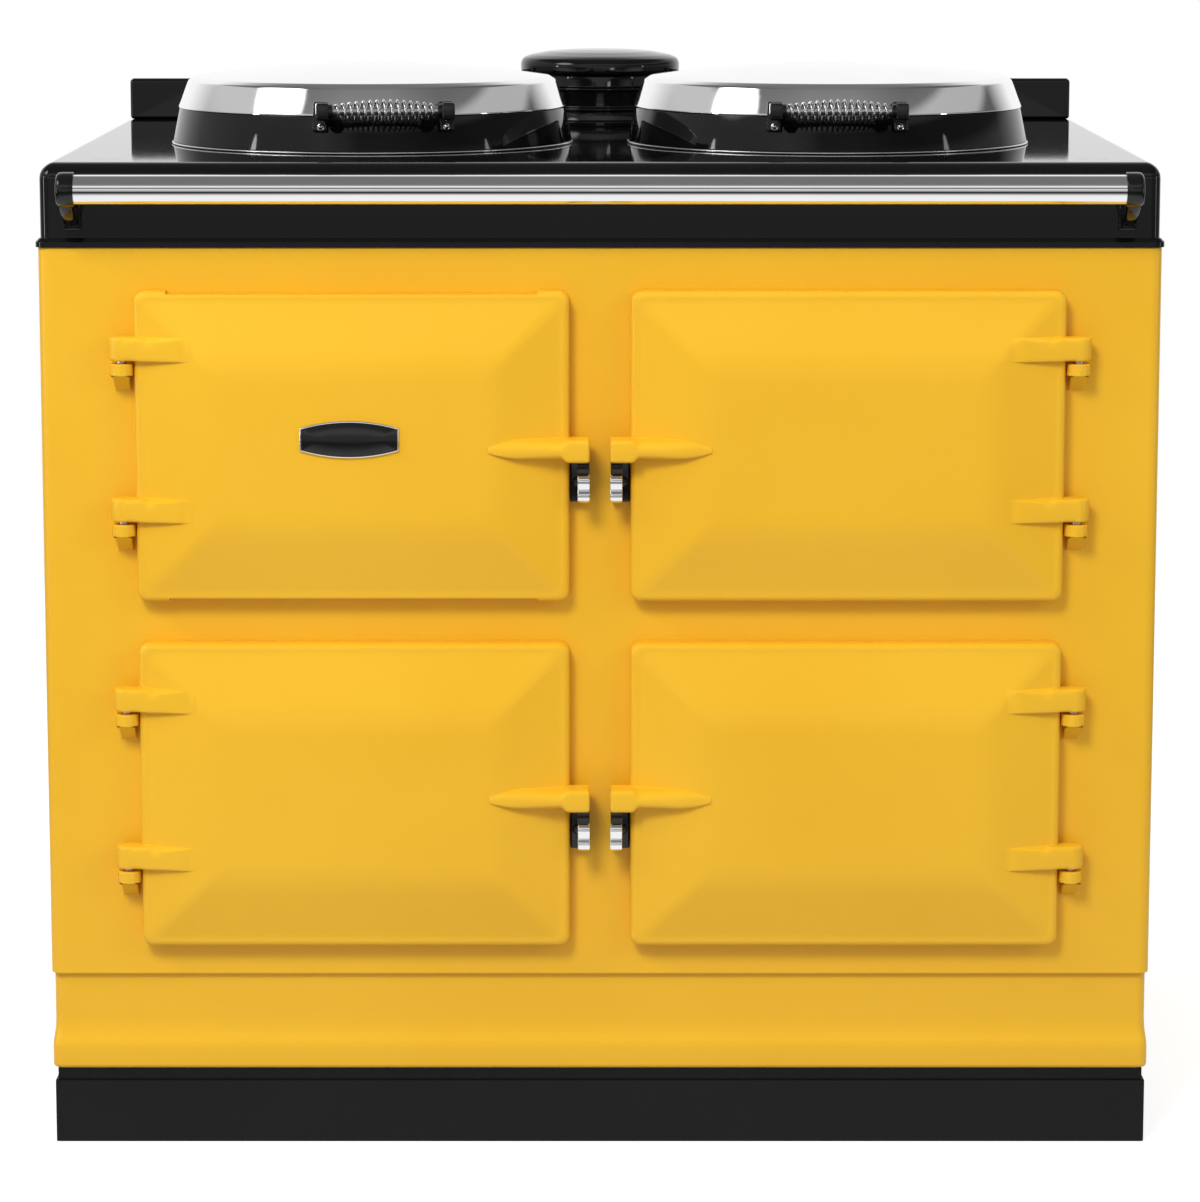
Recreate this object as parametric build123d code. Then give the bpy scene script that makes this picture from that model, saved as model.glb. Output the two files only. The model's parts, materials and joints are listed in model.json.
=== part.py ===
"""Cast iron heat-storage range cooker with three ovens, two hotplates under hinged lids and a handrail.

Millimetres. +X is the cooker's right as seen by its user, +Y runs to the wall behind it, +Z is up.
The origin is on the floor, under the middle of the cooker's overall width and depth.
Each function makes one kind of piece; export() writes it as one named node.
Large round forms are drawn with LID_SIDES flats and small ones with fewer, to keep the whole light.
"""
from build123d import *
import os
from math import atan2, cos, degrees, pi, sin, sqrt

os.makedirs("parts", exist_ok=True)

# ------------------------------------------------------------------ driving dimensions: the body
DOOR_WIDTH = 382.0
DOOR_HEIGHT = 275.0
SIDE_STRIP = 85.5  # side of the cooker to a door's edge
CENTRE_STRIP = 54.0  # between the left and right doors
FOOT_STRIP = 30.25  # foot of the casting to the lower doors
MIDDLE_STRIP = 37.75  # between the upper and lower doors
HEAD_STRIP = 37.0  # upper doors to the top of the casting
BODY_DEPTH = 698.0  # face of the front casting to the back of the cooker
CORNER_R = 10.0  # upright front corners

PLINTH_HEIGHT = 58.0
PLINTH_SIDE_SETBACK = 2.0
PLINTH_FRONT_SETBACK = 3.0
BACK_SETBACK = 20.0  # everything below the top plate stops short of its back edge
PLINTH_SHEET = 3.0
PLINTH_BAYS = 3

BASE_PLATE_HEIGHT = 11.0
BASE_PLATE_INSET = 4.5  # the dark gap under the enamelled moulding
MOULDING_HEIGHT = 88.0
MOULDING_WALL = 8.0
MOULDING_SETBACK = 2.0  # moulding stands this far behind the face of the casting
ROLL_PROUD = 2.0
ROLL_FACE = 14.0  # upright part of the roll along the foot of the moulding
ROLL_SLOPE = 10.0
ROLL_FOOT = 3.0

FASCIA_HEIGHT = 74.0  # top plate's front and side apron
CASTING_WALL = 12.0
CASTING_RETURN = 36.0  # depth of the casting's side flanges
RETURN_WALL = 8.0
PANEL_SHEET = 3.0
PANEL_FLANGE = 22.0

# ------------------------------------------------------------------ driving dimensions: doors and hinges
DOOR_GAP = 0.6  # door's back to the face of the casting
DOOR_CORNER_R = 9.0
RIM_DEPTH = 20.0
RIM_SOFT = 5.0  # softened edge of the rim
RIM_SHELF = 7.0  # door edge to the foot of the bevels
BEVEL_WIDTH = 65.0  # door edge to the flat field
BEVEL_RISE = 16.0
FIELD_EDGE_R = 90.0  # soft edge between bevel and field
DOOR_WALL = 6.0
VENT_NOTCH_DEPTH = 3.0  # air slots along the top and bottom of the control door
VENT_NOTCH_END = 28.0

HINGE_OFFSET = 11.3  # door edge to hinge axis
HINGE_STANDOFF = 16.0  # casting face to hinge axis
UPPER_LUG_DROP = 50.5  # door's top edge to the middle of its upper lug
LOWER_LUG_RISE = 82.0  # door's bottom edge to the middle of its lower lug
DOOR_LUG_R = 11.0
DOOR_LUG_HEIGHT = 21.0
STRAP_LENGTH = 62.0  # hinge axis to the end of the cast strap
STRAP_NOSE = 12.0
STRAP_PROUD = 3.0
FRAME_LUG_R = 10.4
FRAME_LUG_HEIGHT = 11.0
GUSSET_HEIGHT = 15.0
GUSSET_WIDTH = 14.0
LUG_GAP = 2.5  # daylight between door lug and frame lug
HINGE_PIN_R = 4.0
PIN_FIT = 0.05  # running fit, radial
PIN_ENGAGEMENT = 15.0  # pin's length in the door lug
PIN_TAIL = 9.0  # pin's length in the frame lug
PIN_SIDES = 10
LUG_SIDES = 12

APERTURE_LAP = 21.0  # how far a door laps over the edge of its aperture
APERTURE_CORNER = 8.0
SEAL_SECTION = 8.0
PLUG_CLEARANCE = 12.0  # aperture edge to the door's plug
PLUG_DEPTH = 22.0
LINER_SHEET = 2.0
LINER_FIT = 0.3

# ------------------------------------------------------------------ driving dimensions: door latches
ARM_LENGTH = 70.0  # door edge back to the arm's pointed end
ARM_REACH = 18.0  # how far the arm passes the door edge
ARM_HALF_HEIGHT = 9.0
ARM_WAIST = 32.0  # door edge back to the leaf's bend
ARM_WAIST_HALF = 7.0
ARM_BACK = 16.0  # casting face to the back of the arm
ARM_FRONT = 40.6
ARM_TAPER = 12.0  # slope of the arm's flanks, degrees
ARM_DROP = 12.0  # end block below the arm's middle
ARM_SOFT = 2.0
PIVOT_DROP = 6.0
PIVOT_STANDOFF = 27.0
PIVOT_R = 2.5
PIVOT_CHEEK = 4.2  # outer cheek beside the lever's eye
EYE_WIDTH = 5.0
EYE_R = 4.5
NECK_HALF = 3.6
EYE_CLEARANCE = 0.3
POCKET_BACK = 6.0
POCKET_FRONT = 9.0
POCKET_ROOF = 5.2  # above the pivot
LEVER_WIDTH = 12.0
LEVER_SHOULDER = 7.5  # below the pivot
LEVER_CHIN = 12.0
LEVER_FOOT = 41.5
LEVER_BELLY = 9.0  # pad's front, out from the pivot
LEVER_CHEST = 6.0
LEVER_TOE = 3.0
LEVER_FLATS = 8  # chords along the pad's curved front and heel
HEEL_DROP = 25.5  # below the pivot
HEEL_HALF = 8.0
HEEL_STANDOFF = 18.0
CATCH_WIDTH = 16.0
CATCH_DEPTH = 12.0
CATCH_HEIGHT = 36.0
CATCH_DROP = 13.0  # below the arm's middle
NOSE_R = 5.0
NOSE_STANDOFF = 12.6
NOSE_DROP = 31.5

BADGE_WIDTH = 87.0
BADGE_HEIGHT = 33.0
BADGE_END_HEIGHT = 20.0
BADGE_THICKNESS = 3.0
BADGE_RIM = 2.5
BADGE_FLATS = 14  # chords along the bowed top and bottom
BADGE_RECESS = 0.8
BADGE_X = -1.5  # from the middle of its door
BADGE_Z = 9.5

# ------------------------------------------------------------------ driving dimensions: ovens and controls
OVEN_DEPTH = 480.0
OVEN_WALL = 5.0
OVEN_FLANGE = 15.0
OVEN_FLANGE_T = 3.0
RUNNER_HEIGHTS = (-65.0, -10.0, 45.0)  # above the oven's middle
RUNNER_WIDTH = 6.0
RUNNER_HEIGHT = 5.0
RUNNER_START = 40.0  # behind the oven's mouth
SHELF_LEVEL = 0  # index into RUNNER_HEIGHTS
SHELF_BAR = 6.0
SHELF_SLOTS = 7
SHELF_SIDE_GAP = 1.5
SHELF_DEPTH = 400.0
ELEMENT_BAR = 8.0
ELEMENT_INSET = 50.0  # side of the oven mouth to the element
ELEMENT_LENGTH = 380.0

CONTROL_SETBACK = 44.0  # casting face to the face of the control panel
CONTROL_SHEET = 2.0
CONTROL_TRAY_DEPTH = 60.0
CONTROL_FIT = 1.0
KNOB_R = 18.0
KNOB_SIDES = 12
KNOB_BASE = 10.0
KNOB_GRIP_WIDTH = 9.0
KNOB_GRIP_LENGTH = 30.0
KNOB_GRIP_HEIGHT = 8.0
KNOB_GAP = 0.5
KNOB_SPACING = 90.0
SPINDLE_R = 3.0
SPINDLE_LENGTH = 16.0

PACK_GAP = 2.0
PACK_START = 10.0  # behind the casting's flanges
PACK_TOP = 52.0  # below the cooking surface

# ------------------------------------------------------------------ driving dimensions: top plate, hotplates, upstand, vent
TOP_SIDE_SETBACK = 2.0
TOP_FRONT_SETBACK = 2.0
TOP_EDGE_R = 14.0
TOP_THICKNESS = 14.0
TOP_WALL = 10.0
LIP_PROUD = 4.0
LIP_HEIGHT = 8.0
LIP_COVE = 3.5
LID_SPACING = 428.0
LID_FROM_FRONT = 300.0
LID_SIDES = 48
HOTPLATE_R = 152.0
HOTPLATE_THICKNESS = 42.0
HOTPLATE_FIT = 0.3
HEATER_R = 100.0
HEATER_SIDES = 8
HEATER_HEIGHT = 8.0
PLUG_LENGTH = 26.0
PLUG_WIDTH = 16.0
PLUG_CORNER = 6.0
PLUG_THICKNESS = 2.0
PLUG_FROM_SIDE = 54.5
PLUG_FROM_FRONT = 52.0

UPSTAND_SIDE_SETBACK = 9.5
UPSTAND_HEIGHT = 41.5
UPSTAND_THICKNESS = 16.0
UPSTAND_R = 4.0
VENT_FROM_BACK = 88.0
VENT_SIDES = 36
VENT_BORE_SIDES = 18
VENT_FOOT_R = 70.0
VENT_FOOT_HEIGHT = 5.0
VENT_NECK_R = 60.0
VENT_NECK_HEIGHT = 50.0
VENT_WALL = 5.0
CAP_R = 80.0
CAP_RIM = 12.0
CAP_CROWN = 13.0
CAP_SHOULDER_R = 70.0
CAP_SHOULDER = 8.0
CAP_CROWN_R = 30.0
CAP_SPIGOT = 6.0
CAP_FIT = 0.5

# ------------------------------------------------------------------ driving dimensions: lids
LID_REST_GAP = 0.3  # lid's bead above the cooking surface
BEAD_R = 188.5
BEAD_HEIGHT = 1.7
SKIRT_FOOT_R = 187.5
SEAM_R = 181.0
SEAM_HEIGHT = 34.0  # above the cooking surface
SKIRT_WALL = 2.5
DOME_LIP = 1.0
SHOULDER_R = 172.5
SHOULDER_HEIGHT = 59.0
CROWN_R = 166.5  # inner edge of the crisp shoulder
CROWN_FOOT = 62.6
CROWN_TOP = 73.6
CROWN_RINGS = 4
DOME_SHEET = 2.0
DOME_CAVITY_R = 170.0
CEILING_R = 60.0
CEILING_TOP = 68.0
CAVITY_SIDES = 20
PAD_GAP = 2.0
LID_AXIS_BEHIND = 18.0  # lid's foot to the hinge axis
LID_AXIS_HEIGHT = 19.0
LID_LUG_WIDTH = 40.0
LID_LUG_R = 8.0
LID_PIN_R = 4.0
EAR_THICKNESS = 7.0
EAR_GAP = 0.3
BRACKET_BASE = 4.0
BRACKET_LENGTH = 36.0

HANDLE_TURN = {"left": 6.0, "right": 0.0}  # degrees round the lid from dead ahead
HANDLE_REACH = 208.0  # lid centre to the grip's axis
HANDLE_HEIGHT = 40.0
HANDLE_SPAN = 102.0  # between the end brackets
END_BRACKET_WIDTH = 13.6
END_BRACKET_R = 11.0
STALK_TOP = 7.0  # where the bracket meets the lid, above and below the grip
STALK_BOTTOM = 18.0
COLLAR_R = 8.5
COLLAR_LENGTH = 4.0
ROD_R = 4.0
ROD_SEAT = 7.0
WIRE_R = 1.4
WIRE_SIDES = 4
COIL_END_R = 7.0  # to the middle of the wire
COIL_MID_R = 10.4
COIL_TURNS = 14
COIL_STEPS = 6  # corners per turn
COIL_END_GAP = 0.3

# ------------------------------------------------------------------ driving dimensions: handrail
RAIL_D = 26.0
RAIL_WALL = 2.0
RAIL_END_INSET = 34.5  # side of the top plate to the end of the rail
RAIL_STANDOFF = 47.0
RAIL_DROP = 20.0  # below the cooking surface
RAIL_SOCKET = 3.0
CUP_R = 15.5
CUP_LENGTH = 16.0
FOOT_TOP = 6.0  # foot's upper and lower ends, from the rail's axis
FOOT_BOTTOM = 39.0
FOOT_DEPTH = 8.0

# ------------------------------------------------------------------ places worked out from the sizes above
RAIL_REACH = RAIL_STANDOFF + CUP_R
FRONT_Y = RAIL_REACH - (BODY_DEPTH + RAIL_REACH) / 2
TOP_BACK_Y = FRONT_Y + BODY_DEPTH
BACK_Y = TOP_BACK_Y - BACK_SETBACK
BODY_WIDTH = 2 * (SIDE_STRIP + DOOR_WIDTH) + CENTRE_STRIP
HALF_BODY = BODY_WIDTH / 2
TOP_WIDTH = BODY_WIDTH - 2 * TOP_SIDE_SETBACK
PLINTH_WIDTH = BODY_WIDTH - 2 * PLINTH_SIDE_SETBACK
UPSTAND_WIDTH = TOP_WIDTH - 2 * UPSTAND_SIDE_SETBACK
RAIL_LENGTH = TOP_WIDTH - 2 * RAIL_END_INSET
PLUG_X = TOP_WIDTH / 2 - PLUG_FROM_SIDE
MOULDING_BOTTOM = PLINTH_HEIGHT + BASE_PLATE_HEIGHT
CASTING_BOTTOM = MOULDING_BOTTOM + MOULDING_HEIGHT
BOTTOM_DOOR_Z = CASTING_BOTTOM + FOOT_STRIP + DOOR_HEIGHT / 2
TOP_DOOR_Z = BOTTOM_DOOR_Z + DOOR_HEIGHT + MIDDLE_STRIP
CASTING_TOP = TOP_DOOR_Z + DOOR_HEIGHT / 2 + HEAD_STRIP
PLATE_TOP = CASTING_TOP + FASCIA_HEIGHT
DOOR_X = (DOOR_WIDTH + CENTRE_STRIP) / 2
HALF_DOOR = DOOR_WIDTH / 2
HINGE_X = HALF_DOOR + HINGE_OFFSET
UPPER_LUG_Z = DOOR_HEIGHT / 2 - UPPER_LUG_DROP
LOWER_LUG_Z = LOWER_LUG_RISE - DOOR_HEIGHT / 2
APERTURE_WIDTH = DOOR_WIDTH - 2 * APERTURE_LAP
APERTURE_HEIGHT = DOOR_HEIGHT - 2 * APERTURE_LAP
ELEMENT_WIDTH = APERTURE_WIDTH - 2 * ELEMENT_INSET
RIM_FRONT = DOOR_GAP + RIM_DEPTH
FIELD_FRONT = RIM_FRONT + BEVEL_RISE
BEVEL_RUN = BEVEL_WIDTH - RIM_SHELF
BEVEL_TAPER = degrees(atan2(BEVEL_RUN, BEVEL_RISE))
ARM_TIP = HALF_DOOR + ARM_REACH
EYE_OUTER = ARM_TIP - PIVOT_CHEEK - EYE_CLEARANCE
EYE_INNER = EYE_OUTER - EYE_WIDTH
HALF_MOUTH_X = APERTURE_WIDTH / 2
HALF_MOUTH_Z = APERTURE_HEIGHT / 2
TOP_FRONT_Y = FRONT_Y + TOP_FRONT_SETBACK
LID_X = LID_SPACING / 2
LID_Y = FRONT_Y + LID_FROM_FRONT
BEAD_TOP = LID_REST_GAP + BEAD_HEIGHT
LID_AXIS_Y = SKIRT_FOOT_R + LID_AXIS_BEHIND
RAIL_Z = PLATE_TOP - RAIL_DROP
RAIL_Y = FRONT_Y - RAIL_STANDOFF

# name, side (-1 left, +1 right) and height of each door's middle
DOORS = {
    "control": (-1, TOP_DOOR_Z),
    "roasting": (1, TOP_DOOR_Z),
    "baking": (-1, BOTTOM_DOOR_Z),
    "simmering": (1, BOTTOM_DOOR_Z),
}
OVENS = ("roasting", "baking", "simmering")
LIDS = {"left": -1, "right": 1}


# ------------------------------------------------------------------ helpers
def export(name, *shapes):
    """Write one node's separate solids to parts/name.step."""
    solids = [solid for shape in shapes for solid in shape.solids()]
    whole = solids[0] if len(solids) == 1 else Compound(children=solids)
    whole.label = name
    export_step(whole, f"parts/{name}.step")


def block(x, y, z):
    """A rectangular block between pairs of X, Y and Z limits."""
    middle = [sum(pair) / 2 for pair in (x, y, z)]
    size = [abs(pair[1] - pair[0]) for pair in (x, y, z)]
    return Pos(*middle) * Box(*size)


def peg(radius, sides=PIN_SIDES):
    """Outline of a pin or lug: corners on the given radius."""
    return RegularPolygon(radius, sides)


def bore(radius, sides=PIN_SIDES):
    """Outline of the hole for a pin: flats on the given radius."""
    return RegularPolygon(radius, sides, major_radius=False)


def disc(radius, z, top_radius=None, sides=LID_SIDES):
    """A round or coned disc between a pair of heights."""
    height = z[1] - z[0]
    shrink = (radius - (radius if top_radius is None else top_radius)) * cos(pi / sides)
    taper = degrees(atan2(shrink, height))
    return Pos(0, 0, z[0]) * extrude(RegularPolygon(radius, sides), height, taper=taper)


def bowed(start, middle, end, flats):
    """A curved edge through three points, drawn with straight chords."""
    arc = ThreePointArc(start, middle, end)
    return Polyline(*(arc @ (index / flats) for index in range(flats + 1)))


def along_x(outline, x0, x1):
    """Extrude an outline drawn as (Y, Z) from x0 to x1."""
    return Pos(x0, 0, 0) * extrude(Plane.YZ * outline, x1 - x0, dir=(1, 0, 0))


def bar_x(outline, x0, x1, y, z):
    """A straight bar along X with the given section, centred on (y, z)."""
    return along_x(Pos(y, z) * outline, x0, x1)


def outward(shape):
    """Stand a shape modelled on XY upright, with its +Z pointing out of the front of the cooker."""
    return Rot(90, 0, 0) * shape


def at_door(shape, name):
    """Move a piece modelled for a left door, about its middle on the casting's face, to the named door."""
    side, height = DOORS[name]
    handed = shape if side < 0 else mirror(shape, about=Plane.YZ)
    return Pos(side * DOOR_X, FRONT_Y, height) * handed


def at_lid(shape, name):
    """Move a piece modelled about a lid's centre, on the cooking surface, to its lid."""
    return Pos(LIDS[name] * LID_X, LID_Y, PLATE_TOP) * shape


def outer_edges(edges):
    """The edges of a plate that show: all but the one along its back."""
    back = max((edge @ 0.5).Y for edge in edges)
    return [edge for edge in edges if (edge @ 0.5).Y < back - 1]


# ------------------------------------------------------------------ plinth, base and enamelled body
def plinth():
    """Folded steel tray, open below, with ribs under its deck."""
    front = FRONT_Y + PLINTH_FRONT_SETBACK
    half = PLINTH_WIDTH / 2
    tray = block((-half, half), (front, BACK_Y), (0, PLINTH_HEIGHT))
    bay = (PLINTH_WIDTH - PLINTH_SHEET * (PLINTH_BAYS + 1)) / PLINTH_BAYS
    depth = (front + PLINTH_SHEET, BACK_Y - PLINTH_SHEET)
    for index in range(PLINTH_BAYS):
        left = -half + PLINTH_SHEET + index * (bay + PLINTH_SHEET)
        tray -= block((left, left + bay), depth, (0, PLINTH_HEIGHT - PLINTH_SHEET))
    return tray


def base_plate():
    """Cast base that carries the ovens, set in behind the moulding's foot."""
    half = HALF_BODY - BASE_PLATE_INSET
    return block((-half, half), (FRONT_Y + BASE_PLATE_INSET, BACK_Y), (PLINTH_HEIGHT, MOULDING_BOTTOM))


def front_plan(setback, back):
    """Plan of the body with rounded front corners, set back from its face and sides."""
    front = FRONT_Y + setback
    plan = Pos(0, (front + back) / 2) * Rectangle(BODY_WIDTH - 2 * setback, back - front)
    return fillet(plan.vertices().sort_by(Axis.Y)[:2], CORNER_R)


def base_moulding():
    """Enamelled skirt round the foot of the body, with a rounded roll along its lower edge."""
    skirt = extrude(front_plan(MOULDING_SETBACK, BACK_Y), MOULDING_HEIGHT)
    plan = front_plan(MOULDING_SETBACK - ROLL_PROUD, BACK_Y)
    roll = extrude(plan, ROLL_FACE)
    roll = chamfer(outer_edges(roll.edges().group_by(Axis.Z)[0]), ROLL_FOOT)
    slope = extrude(plan, ROLL_SLOPE, taper=degrees(atan2(ROLL_PROUD, ROLL_SLOPE)))
    inner = HALF_BODY - MOULDING_SETBACK - MOULDING_WALL
    inner_front = FRONT_Y + MOULDING_SETBACK + MOULDING_WALL
    hollow = block((-inner, inner), (inner_front, TOP_BACK_Y), (0, MOULDING_HEIGHT))
    return Pos(0, 0, MOULDING_BOTTOM) * (skirt + roll + Pos(0, 0, ROLL_FACE) * slope - hollow)


def frame_lug():
    """Lug on the front casting under a door lug, with a gusset that runs back down to the face."""
    boss = peg(FRAME_LUG_R, LUG_SIDES) + Pos(0, HINGE_STANDOFF / 2) * Rectangle(2 * FRAME_LUG_R, HINGE_STANDOFF)
    lug = Pos(0, 0, -FRAME_LUG_HEIGHT) * extrude(boss, FRAME_LUG_HEIGHT)
    half = GUSSET_WIDTH / 2
    flank = Polyline(
        (-half, -FRAME_LUG_HEIGHT),
        (HINGE_STANDOFF, -FRAME_LUG_HEIGHT),
        (HINGE_STANDOFF, -FRAME_LUG_HEIGHT - GUSSET_HEIGHT),
        close=True,
    )
    hole = Pos(0, 0, -PIN_TAIL) * extrude(bore(HINGE_PIN_R + PIN_FIT), PIN_TAIL)
    return lug + along_x(make_face(flank), -half, half), hole


def hinge_places():
    """World position of each frame lug's top, on the hinge axis."""
    for side, height in DOORS.values():
        for lug_z in (UPPER_LUG_Z, LOWER_LUG_Z):
            top = height + lug_z - DOOR_LUG_HEIGHT / 2 - LUG_GAP
            yield side * (DOOR_X + HINGE_X), FRONT_Y - HINGE_STANDOFF, top


def aperture(depth, inset=0.0):
    """Solid in the form of an oven mouth, from the casting's face inwards."""
    mouth = Rectangle(APERTURE_WIDTH - 2 * inset, APERTURE_HEIGHT - 2 * inset)
    mouth = chamfer(mouth.vertices(), APERTURE_CORNER)
    return Pos(0, depth, 0) * outward(extrude(mouth, depth))


def front_casting():
    """One enamelled casting: four apertures, side flanges and the fixed lugs of the door hinges."""
    height = CASTING_TOP - CASTING_BOTTOM
    casting = Pos(0, 0, CASTING_BOTTOM) * extrude(front_plan(0, FRONT_Y + CASTING_RETURN), height)
    inner = HALF_BODY - RETURN_WALL
    behind = (FRONT_Y + CASTING_WALL, FRONT_Y + CASTING_RETURN)
    casting -= block((-inner, inner), behind, (CASTING_BOTTOM, CASTING_TOP))
    for name in DOORS:
        casting -= at_door(aperture(CASTING_WALL), name)
    for place in hinge_places():
        lug, hole = frame_lug()
        casting = casting + Pos(*place) * lug - Pos(*place) * hole
    return casting


def hinge_pin():
    """Steel pin standing in the frame lug; the door lifts off it."""
    tip = LUG_GAP + PIN_ENGAGEMENT - PIN_FIT
    return Pos(0, 0, -PIN_TAIL) * extrude(peg(HINGE_PIN_R), tip + PIN_TAIL)


def side_panel(side):
    """Enamelled side panel with a folded flange along its back edge."""
    height = (CASTING_BOTTOM, CASTING_TOP)
    outer = side * HALF_BODY
    sheet = (outer, outer - side * PANEL_SHEET)
    wall = block(sheet, (FRONT_Y + CASTING_RETURN, BACK_Y), height)
    flange = block((outer, outer - side * PANEL_FLANGE), (BACK_Y - PANEL_SHEET, BACK_Y), height)
    return wall + flange


def back_panel():
    """Black back sheet between the base plate and the top plate."""
    half = HALF_BODY - PANEL_SHEET
    return block((-half, half), (BACK_Y, BACK_Y + PANEL_SHEET), (MOULDING_BOTTOM, CASTING_TOP))


# ------------------------------------------------------------------ top plate and what stands on it
def top_plan(proud):
    """Plan of the top plate's apron, with rounded front corners."""
    depth = TOP_BACK_Y - TOP_FRONT_Y + proud
    plan = Pos(0, TOP_FRONT_Y - proud + depth / 2) * Rectangle(TOP_WIDTH + 2 * proud, depth)
    return fillet(plan.vertices().sort_by(Axis.Y)[:2], CORNER_R)


def top_plate():
    """Black enamelled casting: cooking surface with two round holes, and a deep apron with a lip."""
    plate = Pos(0, 0, CASTING_TOP) * extrude(top_plan(0), FASCIA_HEIGHT)
    plate = fillet(outer_edges(plate.edges().group_by(Axis.Z)[-1]), TOP_EDGE_R)
    lip = Pos(0, 0, CASTING_TOP) * extrude(top_plan(LIP_PROUD), LIP_HEIGHT)
    plate += chamfer(outer_edges(lip.edges().group_by(Axis.Z)[-1]), LIP_COVE)
    inner = TOP_WIDTH / 2 - TOP_WALL
    inner_y = (TOP_FRONT_Y + TOP_WALL, TOP_BACK_Y - TOP_WALL)
    plate -= block((-inner, inner), inner_y, (CASTING_TOP, PLATE_TOP - TOP_THICKNESS))
    for name, place in zip(LIDS, plug_places()):
        plate -= at_lid(disc(HOTPLATE_R + HOTPLATE_FIT, (-TOP_THICKNESS, 0)), name)
        plate -= place * blanking_plug()
    return plate


def blanking_plug():
    """Small oval plug that lies flush in the cooking surface."""
    outline = Rectangle(PLUG_LENGTH, PLUG_WIDTH)
    return extrude(chamfer(outline.vertices(), PLUG_CORNER), -PLUG_THICKNESS)


def plug_places():
    """The plugs lie near the front corners."""
    return [Pos(side * PLUG_X, TOP_FRONT_Y + PLUG_FROM_FRONT, PLATE_TOP) for side in LIDS.values()]


def hotplate():
    """Thick cast iron hotplate, level with the cooking surface."""
    return disc(HOTPLATE_R, (-HOTPLATE_THICKNESS, 0))


def hotplate_heater():
    """A flat heater clamped under a hotplate."""
    return disc(HEATER_R, (-HOTPLATE_THICKNESS - HEATER_HEIGHT, -HOTPLATE_THICKNESS), sides=HEATER_SIDES)


def rear_upstand():
    """Low black splashback along the rear edge of the top plate."""
    half = UPSTAND_WIDTH / 2
    height = (PLATE_TOP, PLATE_TOP + UPSTAND_HEIGHT)
    wall = block((-half, half), (TOP_BACK_Y - UPSTAND_THICKNESS, TOP_BACK_Y), height)
    return fillet(wall.edges().group_by(Axis.Z)[-1], UPSTAND_R)


def vent_neck():
    """Hollow cast neck of the vent outlet, with a foot flange."""
    neck = disc(VENT_NECK_R, (0, VENT_NECK_HEIGHT), sides=VENT_SIDES)
    foot = disc(VENT_FOOT_R, (0, VENT_FOOT_HEIGHT), sides=VENT_SIDES)
    hollow = disc(VENT_NECK_R - VENT_WALL, (0, VENT_NECK_HEIGHT), sides=VENT_BORE_SIDES)
    return Pos(0, TOP_BACK_Y - VENT_FROM_BACK, PLATE_TOP) * (neck + foot - hollow)


def vent_cap():
    """Mushroom cap over the vent neck, located by a short spigot."""
    rim_top = CAP_RIM
    shoulder_top = rim_top + CAP_SHOULDER
    cap = disc(CAP_R, (0, rim_top), sides=VENT_SIDES)
    cap += disc(CAP_R, (rim_top, shoulder_top), CAP_SHOULDER_R, VENT_SIDES)
    cap += disc(CAP_SHOULDER_R, (shoulder_top, rim_top + CAP_CROWN), CAP_CROWN_R, VENT_SIDES)
    spigot = (VENT_NECK_R - VENT_WALL) * cos(pi / VENT_BORE_SIDES) - CAP_FIT
    cap += disc(spigot, (-CAP_SPIGOT, 0), sides=VENT_BORE_SIDES)
    return Pos(0, TOP_BACK_Y - VENT_FROM_BACK, PLATE_TOP + VENT_NECK_HEIGHT) * cap


# ------------------------------------------------------------------ doors
def bevelled(depth, shelf):
    """A slab with four wide bevels rising to a flat field; shelf is the width left round its foot."""
    foot = Rectangle(DOOR_WIDTH - 2 * shelf, DOOR_HEIGHT - 2 * shelf)
    return Pos(0, 0, depth) * extrude(foot, BEVEL_RISE, taper=BEVEL_TAPER)


def door_form():
    """Outer form of a door: softened rim, four wide bevels and a flat field."""
    rim = extrude(RectangleRounded(DOOR_WIDTH, DOOR_HEIGHT, DOOR_CORNER_R), RIM_DEPTH)
    rim = chamfer(rim.edges().group_by(Axis.Z)[-1], RIM_SOFT)
    bevels = bevelled(RIM_DEPTH, RIM_SHELF)
    bevels = fillet(bevels.edges().group_by(Axis.Z)[-1], FIELD_EDGE_R)
    return Pos(0, -DOOR_GAP, 0) * outward(rim + bevels)


def door_cavity():
    """Hollow back of a door casting, closed by the liner."""
    edge = DOOR_WALL + LINER_SHEET
    mouth = Rectangle(DOOR_WIDTH - 2 * edge, DOOR_HEIGHT - 2 * edge)
    throat = RIM_DEPTH - DOOR_WALL
    return Pos(0, -DOOR_GAP, 0) * outward(extrude(mouth, throat) + bevelled(throat, RIM_SHELF + DOOR_WALL))


def door_strap(height):
    """Cast strap that runs off the bevel and ends in the round lug of the hinge."""
    end_x = STRAP_LENGTH - HINGE_X
    nose_x = end_x - STRAP_NOSE
    bevel_y = -RIM_FRONT - BEVEL_RISE * (nose_x + HALF_DOOR - RIM_SHELF) / BEVEL_RUN
    outline = Polyline(
        (-HINGE_X, -HINGE_STANDOFF - DOOR_LUG_R),
        (nose_x, bevel_y - STRAP_PROUD),
        (end_x, bevel_y),
        (end_x, -HINGE_STANDOFF),
        (-HINGE_X, -HINGE_STANDOFF + DOOR_LUG_R),
        close=True,
    )
    plan = Pos(-HINGE_X, -HINGE_STANDOFF) * peg(DOOR_LUG_R, LUG_SIDES) + make_face(outline)
    return Pos(0, 0, height - DOOR_LUG_HEIGHT / 2) * extrude(plan, DOOR_LUG_HEIGHT, dir=(0, 0, 1))


def door_pin_bore(height):
    """Blind bore in the underside of a door lug."""
    hole = extrude(bore(HINGE_PIN_R + PIN_FIT), PIN_ENGAGEMENT)
    return Pos(-HINGE_X, -HINGE_STANDOFF, height - DOOR_LUG_HEIGHT / 2) * hole


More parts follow.
